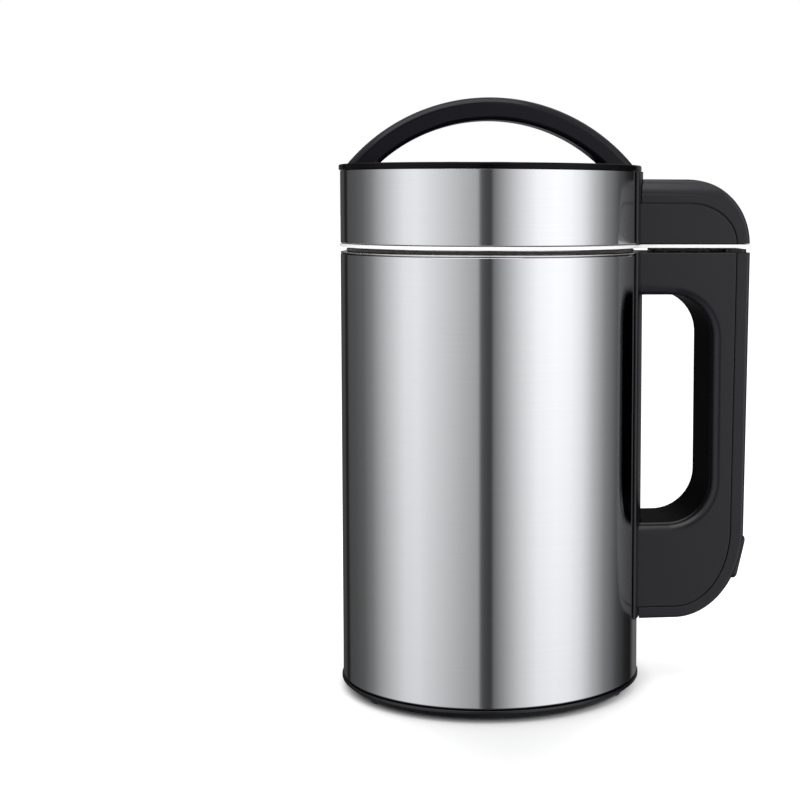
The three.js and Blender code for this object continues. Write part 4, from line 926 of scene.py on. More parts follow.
class SOYMILK_OT_base(Operator):
    """Mould the base ring and the vented plate under the steel, with their screws and feet"""

    bl_idname = "soymilk.base"
    bl_label = "Base"

    def execute(self, context):
        sizes = context.scene.soymilk_jug
        self.ring(sizes)
        self.plate()
        self.screws()
        self.feet()
        return {"FINISHED"}

    def plate(self):
        low, high, radius = DISC_LOW.z, DISC_HIGH.z, DISC_HIGH.y
        sheet, dish, soft, edge = 1.2 * MM, 40 * MM, 0.8 * MM, 0.3 * MM
        step = high - low - sheet
        plate = turned("base_plate_moulding", eased([
            (0, low + step, 0), (dish, low + step, soft), (dish + step, low, soft), (radius, low, edge),
            (radius, low + sheet, edge), (dish + 2 * step, low + sheet, soft), (dish + step, high, soft), (0, high, 0),
        ]), 96)
        for spot in SCREW_SPOTS:
            carve(plate, bar("hole", "XY", BASE_SCREW_HOLE, low - OVERRUN, high + OVERRUN, spot))
        for index in range(-4, 5):
            middle, half = index * 6 * MM, (26 - abs(index) * 3) * MM
            slot = rounded_box(middle - 1 * MM, middle + 1 * MM, -half, half, 0.95 * MM, 4)
            carve(plate, raised("vent", slot, "XY", low - OVERRUN, high + OVERRUN))
        hand_over(plate, "jug", "black_plastic", "base_plate")

    def screws(self):
        low, high = box_of("base_screw_1")[0].z, box_of("base_screw_1")[1].z
        head, shank, seat = 3 * MM, 1.5 * MM, low + 1.1 * MM
        first = turned("base_screw_turned_1", eased([
            (0, low, 0), (head, low, 0.7 * MM), (head, seat, 0.1 * MM),
            (shank, seat, 0), (shank, high, 0.5 * MM), (0, high, 0),
        ]), 32)
        for turn in (0, math.pi / 2):
            arm = block("cross", -1.9 * MM, 1.9 * MM, -0.4 * MM, 0.4 * MM, low - OVERRUN, low + 0.7 * MM)
            carve(first, place(arm, turn=turn))
        names = [f"base_screw_turned_{index}" for index in (1, 2, 3)]
        for index, screw in enumerate(repeated(first, SCREW_SPOTS, names)):
            hand_over(screw, "jug", "polished_steel", f"base_screw_{index + 1}")

    def feet(self):
        stem_top = box_of("foot_1")[1].z
        wide, stem, shoulder = 3.9 * MM, 1.6 * MM, 1.2 * MM
        first = turned("rubber_foot_1", eased([
            (0, 0.4 * MM, 0), (1.4 * MM, 0.4 * MM, 0.3 * MM), (1.9 * MM, 0, 0.3 * MM), (3.6 * MM, 0, 0.5 * MM),
            (wide, shoulder, 0.3 * MM), (stem, shoulder, 0.1 * MM), (stem, stem_top, 0.4 * MM), (0, stem_top, 0),
        ]), 48)
        names = [f"rubber_foot_{index}" for index in (1, 2, 3)]
        for index, foot in enumerate(repeated(first, FOOT_SPOTS, names)):
            hand_over(foot, "jug", "black_rubber", f"foot_{index + 1}")

    def ring(self, sizes):
        soft = sizes.edge
        drop = BASE_LOW.z
        shell_bottom = JUG_LOW.z
        lip = BASE_HIGH.x
        foot = lip - sizes.lip_taper
        inner = foot - 8.8 * MM
        shelf = 5.1 * MM
        shelf_top = shelf + 1.8 * MM
        bore = JUG_RADIUS - sizes.curl - GAP
        upstand = JUG_RADIUS - sizes.sheet - GAP
        ring = turned("base_ring_moulding", eased([
            (inner - 10 * MM, shelf, 0.3 * MM),
            (inner, shelf, 0.3 * MM),
            (inner, drop, soft),
            (foot, drop, soft),
            (lip, shell_bottom - 1.5 * MM, soft),
            (lip, shell_bottom - GAP, 0.25 * MM),
            (bore, shell_bottom - GAP, 0.2 * MM),
            (bore, shell_bottom + sizes.sheet + GAP, 0.1 * MM),
            (upstand, shell_bottom + sizes.sheet + GAP, 0.2 * MM),
            (upstand, BASE_HIGH.z, 0.4 * MM),
            (upstand - 2.2 * MM, BASE_HIGH.z, 0.4 * MM),
            (bore - 2.2 * MM, shelf_top, 0.4 * MM),
            (inner - 10 * MM, shelf_top, 0.3 * MM),
        ]), sizes.turns)
        boss_top, foot_room = 11 * MM, 4.4 * MM
        for screw_spot, foot_spot in zip(SCREW_SPOTS, FOOT_SPOTS):
            carve(ring, bar("boss", "XY", BOSS_RADIUS, shelf + GAP, boss_top, screw_spot), how="UNION")
            hole = bar("hole", "XY", BASE_SCREW_HOLE, drop, boss_top + OVERRUN, screw_spot)
            carve(ring, hole, bar("hole", "XY", 1.9 * MM, -OVERRUN, foot_room, foot_spot))
        hand_over(ring, "jug", "black_plastic", "base_ring")


class SOYMILK_OT_handle(Operator):
    """Mould the handle's body with its finger opening, its outer cover and the glossy liner"""

    bl_idname = "soymilk.handle"
    bl_label = "Handle"

    def execute(self, context):
        sizes = context.scene.soymilk_handle
        self.body(sizes)
        self.cover(sizes)
        self.liner(sizes)
        return {"FINISHED"}

    def body(self, sizes):
        half = COVER_HIGH.y
        body = slab("handle_body_moulding", handle_outline(sizes, sizes.band, HANDLE_TOP), half)
        lap = slab("lap", handle_outline(sizes, sizes.band - sizes.lap, HANDLE_TOP), half - sizes.wall / 2)
        carve(body, lap, how="UNION")
        carve(body, slab("opening", opening_outline(sizes, 0), half + OVERRUN))
        low, high = opening_ends(sizes)
        reach = LINER_HIGH.x - sizes.liner + MERGE

        def at_opening(middle, edge):
            beside = abs(middle.y) > half - MERGE and sharp(edge)
            return beside and low - MERGE < middle.z < high + MERGE and START + MERGE < middle.x < reach

        ease_edges(body, sizes.lip, at_opening)
        ease_sides(body, sizes.seam, half, 3)
        strip = strip_beside(sizes, "strip", BODY_LOW.z + sizes.strip, HANDLE_TOP)
        groove = slab("liner_groove", opening_outline(sizes, sizes.liner + GAP), LINER_HIGH.y + GAP)
        carve(body, handle_hollow(sizes, half), groove)
        reach = strip_reach(sizes)
        bosses = [bar("boss", "YZ", BOSS_RADIUS, reach, BOSS_END, (0, height)) for height in SCREW_HEIGHTS]
        carve(body, *bosses, how="UNION")
        carve(body, strip, how="UNION")
        carve(body, jug_space("jug_room", JUG_RADIUS + GAP, -OVERRUN, TOP_HIGH.z))
        for height in SCREW_HEIGHTS:
            carve(body, bar("hole", "YZ", SCREW_HOLE, JUG_RADIUS - OVERRUN, BOSS_END + OVERRUN, (0, height)))
        carve(body, lead_hole(LEAD_HEIGHTS[0], BOSS_END))
        floor = HANDLE_TOP - sizes.wall
        carve(body, raised("socket_hole", coupler_outline(GAP), "XY", floor - OVERRUN, HANDLE_TOP + OVERRUN))
        hand_over(body, "jug", "black_plastic", "handle_body")

    def cover(self, sizes):
        half = COVER_HIGH.y
        margin = sizes.edge + OVERRUN
        cover = slab("handle_cover_moulding", handle_outline(sizes, 0, HANDLE_TOP + margin), half)
        ease_sides(cover, sizes.edge, half)
        above = HANDLE_TOP + margin + OVERRUN
        inner = handle_outline(sizes, sizes.band - GAP, above, START - OVERRUN)
        carve(cover, slab("body_room", inner, half + OVERRUN))
        ease_sides(cover, sizes.seam, half, 3)
        room = handle_outline(sizes, sizes.band - GAP - sizes.lap, above, START - OVERRUN)
        carve(cover, slab("lap_room", room, half - sizes.wall / 2 + GAP / 2))
        hollow = slab("hollow", handle_outline(sizes, sizes.wall, HANDLE_TOP - sizes.wall), half - sizes.wall)
        reach = strip_reach(sizes) + GAP
        carve(hollow, jug_space("jug_room", reach + sizes.wall, -OVERRUN, TOP_HIGH.z))
        carve(cover, hollow, jug_space("jug_room", reach, -OVERRUN, 2 * TOP_HIGH.z))
        slice_off(cover, (0, 0, HANDLE_TOP), (0, 0, 1))
        start, end, across = 108 * MM, HANDLE_REACH - sizes.back_inset - 0.6 * MM, 19 * MM
        rest = rounded_box(start, end, -across, across, 3 * MM)
        carve(cover, raised("rest", rest, "XY", HANDLE_TOP - sizes.wall / 2, TRIM_LOW.z - GAP), how="UNION")
        carve(cover, on_inlet_axis(inlet_block("inlet_hole", GAP, -21 * MM, OVERRUN)))
        seat = inlet_block("bezel_seat", BEZEL_GROWTH + GAP, -BEZEL_DEPTH - GAP, 2 * OVERRUN, widen=BEZEL_WIDEN)
        carve(cover, on_inlet_axis(seat))
        hand_over(cover, "jug", "black_plastic", "handle_cover")

    def liner(self, sizes):
        half = LINER_HIGH.y
        liner = slab("grip_liner_gloss", opening_outline(sizes, sizes.liner), half)
        opening = slab("opening", opening_outline(sizes, 0, START - OVERRUN), half + OVERRUN)
        carve(liner, opening, jug_space("jug_room", strip_reach(sizes) + GAP, -OVERRUN, TOP_HIGH.z))
        hand_over(liner, "jug", "gloss_black", "grip_liner", finish="satin_black")


class SOYMILK_OT_inlet(Operator):
    """Mould the mains inlet in the back of the handle, and set its three blade pins"""

    bl_idname = "soymilk.inlet"
    bl_label = "Mains inlet"

    def execute(self, context):
        depth, wall = 19 * MM, 1.5 * MM
        cup = inlet_block("inlet_housing_moulding", 0, -depth, 0)
        frame_round = inlet_block("bezel", BEZEL_GROWTH, -BEZEL_DEPTH, 0, widen=BEZEL_WIDEN)
        ease_edges(frame_round, 1.6 * MM, lambda middle, edge: middle.x > -MERGE, 6)
        carve(cup, frame_round, how="UNION")
        carve(cup, inlet_block("recess", -wall, wall - depth, OVERRUN, 2.25 * MM))
        places = {"neutral": (-7 * MM, -2 * MM), "live": (7 * MM, -2 * MM), "earth": (0, 2 * MM)}
        for across, up in places.values():
            slot = (across - 1.3 * MM, across + 1.3 * MM, up - 2.3 * MM, up + 2.3 * MM, 0.3 * MM, 3)
            carve(cup, raised("slot", rounded_box(*slot), "YZ", -depth - OVERRUN, OVERRUN - depth))
        hand_over(on_inlet_axis(cup), "jug", "black_plastic", "inlet_housing")
        for name, (across, up) in places.items():
            self.pin(name, across, up)
        return {"FINISHED"}

    def pin(self, name, across, up):
        tip = -4 * MM
        outline = rounded_box(across - 1 * MM, across + 1 * MM, up - 2 * MM, up + 2 * MM, 0.35 * MM, 3)
        pin = raised(f"inlet_pin_{name}_brass", outline, "YZ", -22 * MM, tip)
        ease_edges(pin, 0.5 * MM, lambda middle, edge: middle.x > tip - MERGE, 3)
        hand_over(on_inlet_axis(pin), "jug", "brass", f"inlet_pin_{name}")


class SOYMILK_OT_coupler(Operator):
    """Mould the power coupler's socket and plug, and turn its three contact pins"""

    bl_idname = "soymilk.coupler"
    bl_label = "Power coupler"

    def execute(self, context):
        wall = context.scene.soymilk_handle.wall
        boxes = [box_of(f"coupler_pin_{index}") for index in (1, 2, 3)]
        spots = [((low.x + high.x) / 2, 0) for low, high in boxes]
        self.socket(wall, spots)
        self.plug(wall, spots)
        low, high = boxes[0][0].z, boxes[0][1].z
        radius = boxes[0][1].y
        first = turned("coupler_pin_brass_1", eased([
            (0, low, 0), (radius, low, 1.1 * MM), (radius, high, 0.2 * MM), (0, high, 0),
        ]), 32)
        names = [f"coupler_pin_brass_{index}" for index in (1, 2, 3)]
        for index, pin in enumerate(repeated(first, spots, names)):
            hand_over(pin, "head", "brass", f"coupler_pin_{index + 1}")
        return {"FINISHED"}

    def socket(self, wall, spots):
        bottom, top = SOCKET_LOW.z, HANDLE_TOP
        socket = raised("coupler_socket_moulding", coupler_outline(0), "XY", bottom, top)
        ease_edges(socket, 0.3 * MM, lambda middle, edge: middle.z > top - MERGE, 3)
        shoulder = top - wall - GAP
        step = raised("step", coupler_outline(COUPLER_STEP), "XY", shoulder - COUPLER_STEP, shoulder)
        carve(socket, step, how="UNION")
        for spot in spots:
            mouth = bar("mouth", "XY", 2.9 * MM, top - 0.6 * MM, top + OVERRUN, spot)
            carve(socket, bar("contact_hole", "XY", 2.3 * MM, bottom + 2 * MM, top + OVERRUN, spot), mouth)
        hand_over(socket, "jug", "black_plastic", "coupler_socket")

    def plug(self, wall, spots):
        bottom, top = SKIRT_LOW.z, PLUG_HIGH.z
        plug = raised("coupler_plug_moulding", coupler_outline(COUPLER_STEP), "XY", bottom + wall + GAP, top)
        neck = raised("neck", coupler_outline(0), "XY", bottom, top - OVERRUN)
        nose = raised("nose", coupler_outline(-COUPLER_STEP), "XY", PLUG_LOW.z, top - 2 * OVERRUN)
        half = SOCKET_HIGH.y - 2 * COUPLER_STEP - GAP
        apron = rounded_box(SOCKET_LOW.x - GAP, SOCKET_HIGH.x - 2 * COUPLER_STEP, -half, half, 1.2 * MM, 4)
        apron = raised("apron", apron, "XY", HANDLE_TOP + GAP, TRIM_LOW.z - GAP / 3)
        carve(plug, neck, nose, apron, how="UNION")
        for spot in spots:
            carve(plug, bar("pin_hole", "XY", 2.2 * MM, HANDLE_TOP, top + OVERRUN, spot))
        hand_over(plug, "head", "black_plastic", "coupler_plug")


class SOYMILK_OT_head(Operator):
    """Turn the steel skirt, and mould the white trim and the fairing over the handle"""

    bl_idname = "soymilk.head"
    bl_label = "Head"

    def execute(self, context):
        sizes = context.scene.soymilk_head
        handle = context.scene.soymilk_handle
        self.skirt()
        self.trim(sizes)
        self.fairing(handle)
        self.fairing_cover(handle)
        return {"FINISHED"}

    def skirt(self):
        inner = JUG_RADIUS - 0.8 * MM
        soft = 0.35 * MM
        profile = eased([
            (inner, SKIRT_LOW.z, soft), (JUG_RADIUS, SKIRT_LOW.z, soft),
            (JUG_RADIUS, SKIRT_HIGH.z, soft), (inner, SKIRT_HIGH.z, soft),
        ])
        skirt = turned("head_skirt_steel", profile)
        carve(skirt, lead_hole(LEAD_HEIGHTS[1], JUG_RADIUS + OVERRUN))
        hand_over(skirt, "head", "brushed_steel", "head_skirt")

    def trim(self, sizes):
        bottom, top = TRIM_LOW.z + sizes.trim_lift, TRIM_HIGH.z
        edge = sizes.trim_edge
        radius = JUG_RADIUS + GAP
        bore = 60.2 * MM
        trim = turned("trim_ring_white", eased([
            (bore, bottom, 0.2 * MM), (radius, bottom, edge), (radius, top, edge), (bore, top, 0.2 * MM),
        ]))
        half = COVER_HIGH.y + sizes.trim_overhang
        tongue = rounded_box(START, TRIM_HIGH.x - sizes.trim_inset, -half, half, sizes.trim_corner)
        tongue = raised("tongue", tongue, "XY", bottom, top)
        ease_edges(tongue, edge, lambda middle, _: min(middle.z - bottom, top - middle.z) < MERGE, 5)
        carve(tongue, jug_space("neck", bore + OVERRUN, bottom - OVERRUN, top + OVERRUN))
        carve(trim, tongue, how="UNION")
        nose = raised("nose_hole", coupler_outline(GAP - COUPLER_STEP), "XY", bottom - OVERRUN, top + OVERRUN)
        carve(trim, nose)
        hand_over(trim, "head", "white_plastic", "trim_ring")

    def fairing(self, sizes):
        half = COVER_HIGH.y
        fairing = slab("head_fairing_moulding", fairing_outline(sizes, sizes.band), half)
        lap = slab("lap", fairing_outline(sizes, sizes.band - sizes.lap), half - sizes.wall / 2)
        carve(fairing, lap, how="UNION")
        slice_off(fairing, (0, 0, SKIRT_LOW.z), (0, 0, -1))
        ease_sides(fairing, sizes.seam, half, 3)
        hollow = slab("hollow", fairing_outline(sizes, sizes.band - OVERRUN), half - sizes.wall)
        slice_off(hollow, (0, 0, SKIRT_LOW.z + sizes.wall), (0, 0, -1))
        carve(hollow, jug_space("head_room", strip_reach(sizes) + sizes.wall, 0, 2 * TOP_HIGH.z))
        carve(fairing, hollow)
        carve(fairing, strip_beside(sizes, "strip", SKIRT_LOW.z, SKIRT_HIGH.z), how="UNION")
        carve(fairing, jug_space("head_room", JUG_RADIUS + GAP, 0, 2 * TOP_HIGH.z))
        floor = SKIRT_LOW.z + sizes.wall
        plug = raised("plug_hole", coupler_outline(GAP), "XY", SKIRT_LOW.z - OVERRUN, floor + OVERRUN)
        carve(fairing, plug, lead_hole(LEAD_HEIGHTS[1], BOSS_END))
        hand_over(fairing, "head", "black_plastic", "head_fairing")

    def fairing_cover(self, sizes):
        half = COVER_HIGH.y
        side = half - sizes.ledge
        cover = slab("fairing_cover_moulding", fairing_outline(sizes, 0), side)
        ease_sides(cover, sizes.edge, side)
        crown = raised("crown", crown_outline(sizes), "YZ", START - OVERRUN, HANDLE_REACH + OVERRUN)
        carve(cover, crown, how="INTERSECT")
        band = slab("band", fairing_outline(sizes, sizes.ledge_back, drop=sizes.crown), half)
        ease_sides(band, sizes.ledge_edge, half, 3)
        carve(cover, band, how="UNION")
        inner = fairing_outline(sizes, sizes.band - GAP, START - OVERRUN)
        carve(cover, slab("fairing_room", inner, half + OVERRUN))
        slice_off(cover, (0, 0, SKIRT_LOW.z), (0, 0, -1))
        ease_sides(cover, sizes.seam, half, 3)
        room = fairing_outline(sizes, sizes.band - GAP - sizes.lap, START - OVERRUN)
        carve(cover, slab("lap_room", room, half - sizes.wall / 2 + GAP / 2))
        hollow = slab("hollow", fairing_outline(sizes, sizes.wall), half - sizes.wall)
        slice_off(hollow, (0, 0, SKIRT_LOW.z + sizes.wall), (0, 0, -1))
        reach = strip_reach(sizes) + GAP
        carve(hollow, jug_space("head_room", reach + sizes.wall, 0, 2 * TOP_HIGH.z))
        carve(cover, hollow, jug_space("head_room", reach, 0, 2 * TOP_HIGH.z))
        hand_over(cover, "head", "black_plastic", "fairing_cover")


class SOYMILK_OT_top(Operator):
    """Mould the gloss top plate with its spigot, the bail's channel and the holes for buttons and lens"""

    bl_idname = "soymilk.top"
    bl_label = "Top plate"

    def execute(self, context):
        sizes = context.scene.soymilk_head
        self.plate(sizes, context.scene.soymilk_bail)
        return {"FINISHED"}

    def plate(self, sizes, bail):
        radius, top, bottom = TOP_HIGH.x, TOP_HIGH.z, PLATE_BOTTOM
        profile = eased([
            (0, bottom, 0), (radius, bottom, 0.3 * MM), (radius, top, sizes.plate_edge), (0, top, 0),
        ])
        plate = turned("top_plate_gloss", profile)
        inner, joint = SPIGOT_RADIUS - 2 * MM, bottom + GAP
        ring = turned("spigot", [
            (inner, SPIGOT_BOTTOM), (SPIGOT_RADIUS, SPIGOT_BOTTOM), (SPIGOT_RADIUS, joint), (inner, joint),
        ])
        clear, wall = 0.6 * MM, 1.2 * MM
        depth = PIVOT_HEIGHT - BAIL_HIGH.y - clear
        walls = raised("walls", channel_outline(bail, clear + wall), "XY", depth - wall, joint)
        carve(walls, jug_space("within", SPIGOT_RADIUS, depth - 2 * OVERRUN, top), how="INTERSECT")
        carve(plate, ring, walls, how="UNION")
        carve(plate, raised("channel", channel_outline(bail, clear), "XY", depth, top + OVERRUN))
        holes = [(polar(BUTTON_CIRCLE, angle), 7.6 * MM, 64) for angle in BUTTON_ANGLES]
        for spot, hole, steps in (*holes, ((0, -LENS_CIRCLE), 2.7 * MM, 32)):
            carve(plate, bar("hole", "XY", hole, bottom - OVERRUN, top + OVERRUN, spot, steps))
        tidy_mesh(plate)

        def at_mouth(middle, edge):
            return abs(middle.z - top) < MERGE and middle.xy.length < radius - OVERRUN and sharp(edge)

        ease_edges(plate, sizes.channel_lip, at_mouth, 3)
        carve(plate, bar("pin_hole", "YZ", PIN_HOLE, -BEARING_SPAN, BEARING_SPAN, (0, PIVOT_HEIGHT)))
        hand_over(plate, "head", "gloss_black", "top_plate")


class SOYMILK_OT_buttons(Operator):
    """Mould the three push buttons with their plain marks, and the indicator lens"""

    bl_idname = "soymilk.buttons"
    bl_label = "Buttons and lens"

    def execute(self, context):
        sizes = context.scene.soymilk_head
        for name, angle in zip(("mode", "start", "stop"), BUTTON_ANGLES):
            self.button(sizes, name, polar(BUTTON_CIRCLE, angle))
        self.lens()
        return {"FINISHED"}

    def button(self, sizes, name, spot):
        low, high = (corner.z for corner in box_of(f"button_{name}"))
        high -= sizes.button_drop
        radius, stem, flange = 7.2 * MM, 2.4 * MM, 8.6 * MM
        flange_top = PLATE_BOTTOM - GAP
        flange_low = flange_top - 1.2 * MM
        dish = 5.9 * MM
        hollow = [(dish * math.cos(turn), high - sizes.button_dish * math.sin(turn)) for turn in QUARTER]
        button = turned_at(f"button_{name}_moulding", [
            *eased([
                (0, low, 0), (stem, low, 0.3 * MM), (stem, flange_low, 0.1 * MM), (flange, flange_low, 0.3 * MM),
                (flange, flange_top, 0.3 * MM), (radius, flange_top, 0), (radius, high, 0.7 * MM),
            ]),
            *hollow,
        ], spot, 72)
        bottom, top = high - 1 * MM, high - sizes.button_dish + sizes.mark
        carve(button, self.mark(name, spot, bottom, top), how="UNION")
        hand_over(button, f"{name}_button", "button_grey", f"button_{name}")

    def mark(self, name, spot, bottom, top):
        if name == "mode":
            outer, inner = 2.3 * MM, 1.5 * MM
            return turned_at("mark", [(inner, bottom), (outer, bottom), (outer, top), (inner, top)], spot)
        sides, turn = (3, 0) if name == "start" else (4, math.pi / 4)
        corners = [polar(2.6 * MM, turn + 2 * math.pi * side / sides) for side in range(sides)]
        outline = eased([(spot[0] + x, spot[1] + y, 0.3 * MM) for x, y in reversed(corners)], 3)
        return raised("mark", outline, "XY", bottom, top)

    def lens(self):
        low, high = box_of("indicator_lens")
        radius, flange = 2.4 * MM, 4 * MM
        flange_top = PLATE_BOTTOM - GAP
        dome = [(radius * math.cos(turn), high.z - 0.8 * MM * (1 - math.sin(turn))) for turn in QUARTER]
        lens = turned_at("indicator_lens_dome", [
            *eased([
                (0, low.z, 0), (flange, low.z, 0.2 * MM), (flange, flange_top, 0.2 * MM), (radius, flange_top, 0),
            ]),
            *dome,
        ], (0, -LENS_CIRCLE))
        hand_over(lens, "head", "lens_blue", "indicator_lens")


class SOYMILK_OT_motor(Operator):
    """Turn the motor's housing with the shaft tube, the seals and the probes that hang in the cup"""

    bl_idname = "soymilk.motor"
    bl_label = "Motor housing"

    def execute(self, context):
        self.housing()
        self.cup_seal()
        self.tube()
        spots = [polar(27 * MM, math.radians(angle)) for angle in (150, 300)]
        self.probe("temperature_probe", spots[0], 3 * MM, 5.2 * MM)
        self.probe("overflow_probe", spots[1], 1.5 * MM, 3.7 * MM)
        return {"FINISHED"}

    def housing(self):
        low, high, flange = HOUSING_LOW.z, HOUSING_HIGH.z, HOUSING_HIGH.y
        wall, bore, seat = 1.6 * MM, 4.6 * MM, 11.3 * MM
        fan, motor, neck = 38 * MM, 40 * MM, 59.8 * MM
        ledge, cone, shoulder = low + 24.7 * MM, low + 32 * MM, low + 50 * MM
        seat_top = low + wall + 6 * MM
        housing = turned("motor_housing_steel", eased([
            (bore, low, 0.2 * MM), (fan, low, 5 * MM), (fan, ledge - 2 * wall, 1.5 * MM), (motor, ledge, 1.5 * MM),
            (motor, cone, 3 * MM), (neck, shoulder, 3 * MM), (neck, high - wall, 0.4 * MM),
            (flange, high - wall, 0.3 * MM), (flange, high, 0.3 * MM), (neck - wall, high, 0.8 * MM),
            (neck - wall, shoulder + wall / 2, 2.2 * MM), (motor - wall, cone + wall / 2, 2.2 * MM),
            (motor - wall, ledge, 0.4 * MM), (fan - wall, ledge, 0.4 * MM), (fan - wall, low + wall, 3.4 * MM),
            (seat + 1.8 * MM, low + wall, 0.3 * MM), (seat + 1.8 * MM, seat_top, 0.3 * MM), (seat, seat_top, 0.2 * MM),
            (seat, low + wall, 0.2 * MM), (bore, low + wall, 0.2 * MM),
        ]), 144)
        hand_over(housing, "head", "polished_steel", "motor_housing")

    def cup_seal(self):
        (low, high), inner = box_of("cup_seal"), 60.1 * MM
        bottom, top, outer, rib = low.z, high.z, high.y, 2.4 * MM
        shares = ((0.7, 0), (0.9, 0.45), (1.1, 0), (1.9, 0), (2.1, 0.45), (2.3, 0))
        grooves = [(inner + rib * share, bottom + depth * MM, 0.2 * MM) for share, depth in shares]
        seal = turned("cup_seal_silicone", eased([
            (inner, bottom, 0.25 * MM), *grooves, (outer, bottom, 0.4 * MM), (outer, top, 0.5 * MM),
            (inner, top, 0.25 * MM),
        ]), 144)
        hand_over(seal, "head", "seal_silicone", "cup_seal")

    def tube(self):
        low, high, flange = TUBE_LOW.z, TUBE_HIGH.z, TUBE_HIGH.y
        radius, wall, thick = 12 * MM, 1.2 * MM, 1.8 * MM
        tube = turned("shaft_tube_steel", eased([
            (radius - wall, low, 0.2 * MM), (radius, low, 0.4 * MM), (radius, high - thick, 1.2 * MM),
            (flange, high - thick, 0.4 * MM), (flange, high, 0.2 * MM), (radius - wall, high, 0.2 * MM),
        ]), 96)
        hand_over(tube, "head", "polished_steel", "shaft_tube")
        bottom, top = low, low + 5 * MM
        inner, outer = 4.4 * MM, 10.5 * MM
        seal = turned("shaft_seal_silicone", eased([
            (inner, bottom + 1.4 * MM, 0.3 * MM), (inner + 1 * MM, bottom, 0.4 * MM), (outer, bottom, 0.4 * MM),
            (outer, top, 0.4 * MM), (inner + 1.4 * MM, top, 0.4 * MM), (inner, bottom + 3.4 * MM, 0.3 * MM),
        ]), 64)
        hand_over(seal, "head", "seal_silicone", "shaft_seal")

    def probe(self, name, spot, radius, collar):
        low, high = box_of(name)
        seat = high.z - 1.8 * MM
        tip = [(radius * math.sin(turn), low.z + radius * (1 - math.cos(turn))) for turn in QUARTER]
        probe = turned_at(f"{name}_steel", [
            *tip,
            *eased([
                (radius, low.z + 2 * radius, 0), (radius, seat, 0.8 * MM), (collar, seat, 0.5 * MM),
                (collar, high.z, 0.2 * MM), (0, high.z, 0),
            ]),
        ], spot)
        hand_over(probe, "head", "polished_steel", name)


class SOYMILK_OT_rotor(Operator):
    """Turn the drive shaft, and cut, bend and sharpen the blade under its cap nut"""

    bl_idname = "soymilk.rotor"
    bl_label = "Shaft and blade"

    def execute(self, context):
        self.shaft()
        self.blade()
        self.nut()
        return {"FINISHED"}

    def shaft(self):
        low, high, radius, collar = SHAFT_LOW.z, SHAFT_HIGH.z, 4 * MM, 6.3 * MM
        bottom = low + 7.5 * MM
        top = bottom + 3 * MM
        shaft = turned("drive_shaft_steel", eased([
            (0, low, 0), (radius, low, 0.5 * MM), (radius, bottom, 0), (collar, bottom, 0.3 * MM),
            (collar, top, 0.6 * MM), (radius, top, 0.3 * MM), (radius, high, 0.6 * MM), (0, high, 0),
        ]), 64)
        hand_over(shaft, "rotor", "polished_steel", "drive_shaft")

    def blade(self):
        seat, thick, hub, bore = SHAFT_LOW.z + 6 * MM, 1.2 * MM, 9 * MM, 4.3 * MM
        bend, reach, half = 7.4 * MM, 16.6 * MM, 5.5 * MM
        blade = turned("blade_ground_steel", eased([
            (bore - GAP, seat, 0), (hub, seat, 0.3 * MM), (hub, seat + thick, 0.3 * MM), (bore - GAP, seat + thick, 0),
        ]), 64)
        for index in range(4):
            outline = [(0, -half), (reach, -half * 0.3), (reach, half), (0, half)]
            arm = raised("arm", outline, "XY", 0, thick)
            ease_edges(arm, 0.9 * thick, lambda middle, _: middle.z > thick - MERGE and abs(middle.y) > half / 2, 1)
            tilt = math.radians(24 if index % 2 else -24)
            place(place(arm, turn=tilt, about="Y"), (bend, 0, seat))
            carve(blade, place(arm, turn=math.pi / 2 * index), how="UNION")
        carve(blade, bar("bore", "XY", bore, seat - 4 * OVERRUN, seat + 4 * OVERRUN, steps=64))
        hand_over(blade, "rotor", "polished_steel", "blade")

    def nut(self):
        low, high = box_of("blade_nut")[0].z, box_of("blade_nut")[1].z
        cap, hexagon, rise = 5.1 * MM, 6.3 * MM, 3.7 * MM
        nut = raised("blade_nut_steel", circle(hexagon, 6), "XY", high - rise, high)
        chamfer = eased([
            (0, high - rise, 0), (cap, high - rise, 0), (hexagon, high - rise + 0.8 * MM, 0), (hexagon, high, 0),
            (0, high, 0),
        ])
        carve(nut, turned("chamfer", chamfer, 64), how="INTERSECT")
        dome = eased([(0, low, 0), (cap, low, 3.6 * MM), (cap, high - rise / 2, 0), (0, high - rise / 2, 0)])
        carve(nut, turned("dome", dome, 64), how="UNION")
        carve(nut, bar("bore", "XY", 4.3 * MM, low + 3 * MM, high + OVERRUN, steps=48))
        tidy_mesh(nut)
        hand_over(nut, "rotor", "polished_steel", "blade_nut")


